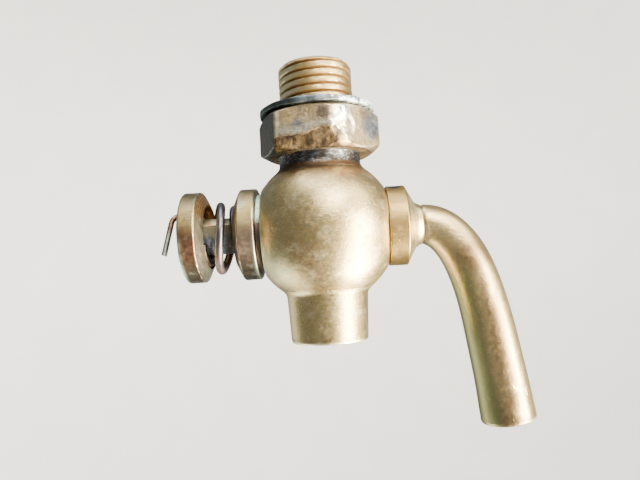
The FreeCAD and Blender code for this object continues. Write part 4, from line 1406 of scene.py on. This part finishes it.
def backdrop(name, centre_z, radius):
    """Flat pale floor that curves up into a round wall, open at the top."""
    curve = 1 - FLAT_SHARE
    flat = [(share * FLAT_SHARE, 0.0) for share in (0.5, 0.75, 1.0)]
    bend = [(FLAT_SHARE + curve * math.sin(turn), curve - curve * math.cos(turn))
            for turn in np.linspace(0.05, math.pi / 2, 24)]
    angles = np.linspace(0, 2 * math.pi, 192, endpoint=False)
    rings = []
    for share, rise in flat + bend + [(1.0, WALL_SHARE)]:
        r = radius * share
        height = centre_z + radius * rise + 0 * angles
        rings.append(np.stack([r * np.cos(angles), r * np.sin(angles), height], axis=-1))
    rings = np.array(rings)
    count, around = rings.shape[:2]
    faces = [tuple(range(around))]
    for row in range(count - 1):
        for place in range(around):
            after = (place + 1) % around
            faces.append((row * around + place, (row + 1) * around + place,
                          (row + 1) * around + after, row * around + after))
    stage = new_piece(name, rings.reshape(-1, 3), faces)
    for face in stage.data.polygons:
        face.use_smooth = True
    return stage


def floor_finish():
    finish = Finish("pale_floor", Roughness=0.85)
    tone = over(cloud(finish, 60.0, 3.0, 0.5, 1.0), 0.3, 0.7)
    finish.feed(Base_Color=paint((0.86, 0.86, 0.85, 1), (0.83, 0.83, 0.83, 1), tone))
    return finish.material


floor = backdrop("pale_floor", -400.0, 950.0)
floor.data.materials.append(floor_finish())
floor.visible_glossy = False

# %% Lights and surroundings
def soft_light(name, place, target, width, height, power, colour):
    """Area light at a place, in millimetres, turned towards a target."""
    lamp = bpy.data.lights.new(name, "AREA")
    lamp.shape = "RECTANGLE"
    lamp.size = width * MM
    lamp.size_y = height * MM
    lamp.energy = power
    lamp.color = colour
    light = placed(name, lamp)
    light.location = Vector(place) * MM
    light.visible_camera = False
    light.rotation_euler = (Vector(target) - Vector(place)).to_track_quat("-Z", "Y").to_euler()


MIDDLE = (4.0, 0.0, -24.0)
soft_light("window", (330, -190, -110), MIDDLE, 180, 400, 17.0, (1.0, 0.94, 0.80))
soft_light("low_window", (250, -30, -320), MIDDLE, 170, 190, 14.0, (1.0, 0.94, 0.80))
soft_light("high_window", (150, -330, 330), MIDDLE, 260, 260, 5.0, (1.0, 0.97, 0.92))
soft_light("right_shoulder", (300, -110, 260), MIDDLE, 200, 200, 1.2, (1.0, 0.95, 0.84))
soft_light("sky", (-60, -60, 480), MIDDLE, 320, 320, 2.2, (0.90, 0.95, 1.0))
soft_light("left_fill", (-300, 190, -130), MIDDLE, 220, 300, 0.4, (0.94, 1.0, 0.90))
soft_light("low_left_fill", (-230, 60, -330), MIDDLE, 200, 200, 0.9, (0.96, 1.0, 0.88))

SKY_COLOUR = (0.56, 0.62, 0.68, 1)
SKY_STRENGTH = 0.48
world = bpy.data.worlds.new("studio")
world.use_nodes = True
surroundings = world.node_tree.nodes["Background"]
surroundings.inputs["Color"].default_value = SKY_COLOUR
surroundings.inputs["Strength"].default_value = SKY_STRENGTH
bpy.context.scene.world = world

# %% Camera at the photograph's angle
FOCAL_PIXELS = 562.08
IMAGE_WIDTH = 640
SENSOR_WIDTH = 36.0
CAMERA_PLACE = (2.5325, -99.6153, -27.997)
CAMERA_FORWARD = (-0.0332, 0.9983, 0.0488)
CAMERA_RIGHT = (0.9976, 0.0361, -0.0598)
camera_data = bpy.data.cameras.new("camera")
camera_data.sensor_width = SENSOR_WIDTH
camera_data.lens = FOCAL_PIXELS / IMAGE_WIDTH * SENSOR_WIDTH
camera_data.clip_start = 0.001
camera = placed("camera", camera_data)
forward = Vector(CAMERA_FORWARD).normalized()
right = Vector(CAMERA_RIGHT)
right = (right - forward * right.dot(forward)).normalized()
turn = Matrix((right, right.cross(forward), -forward)).transposed()
camera.matrix_world = Matrix.Translation(Vector(CAMERA_PLACE) * MM) @ turn.to_4x4()
bpy.context.scene.camera = camera
print("camera", [round(v / MM, 1) for v in camera.location], "lens", round(camera_data.lens, 2))
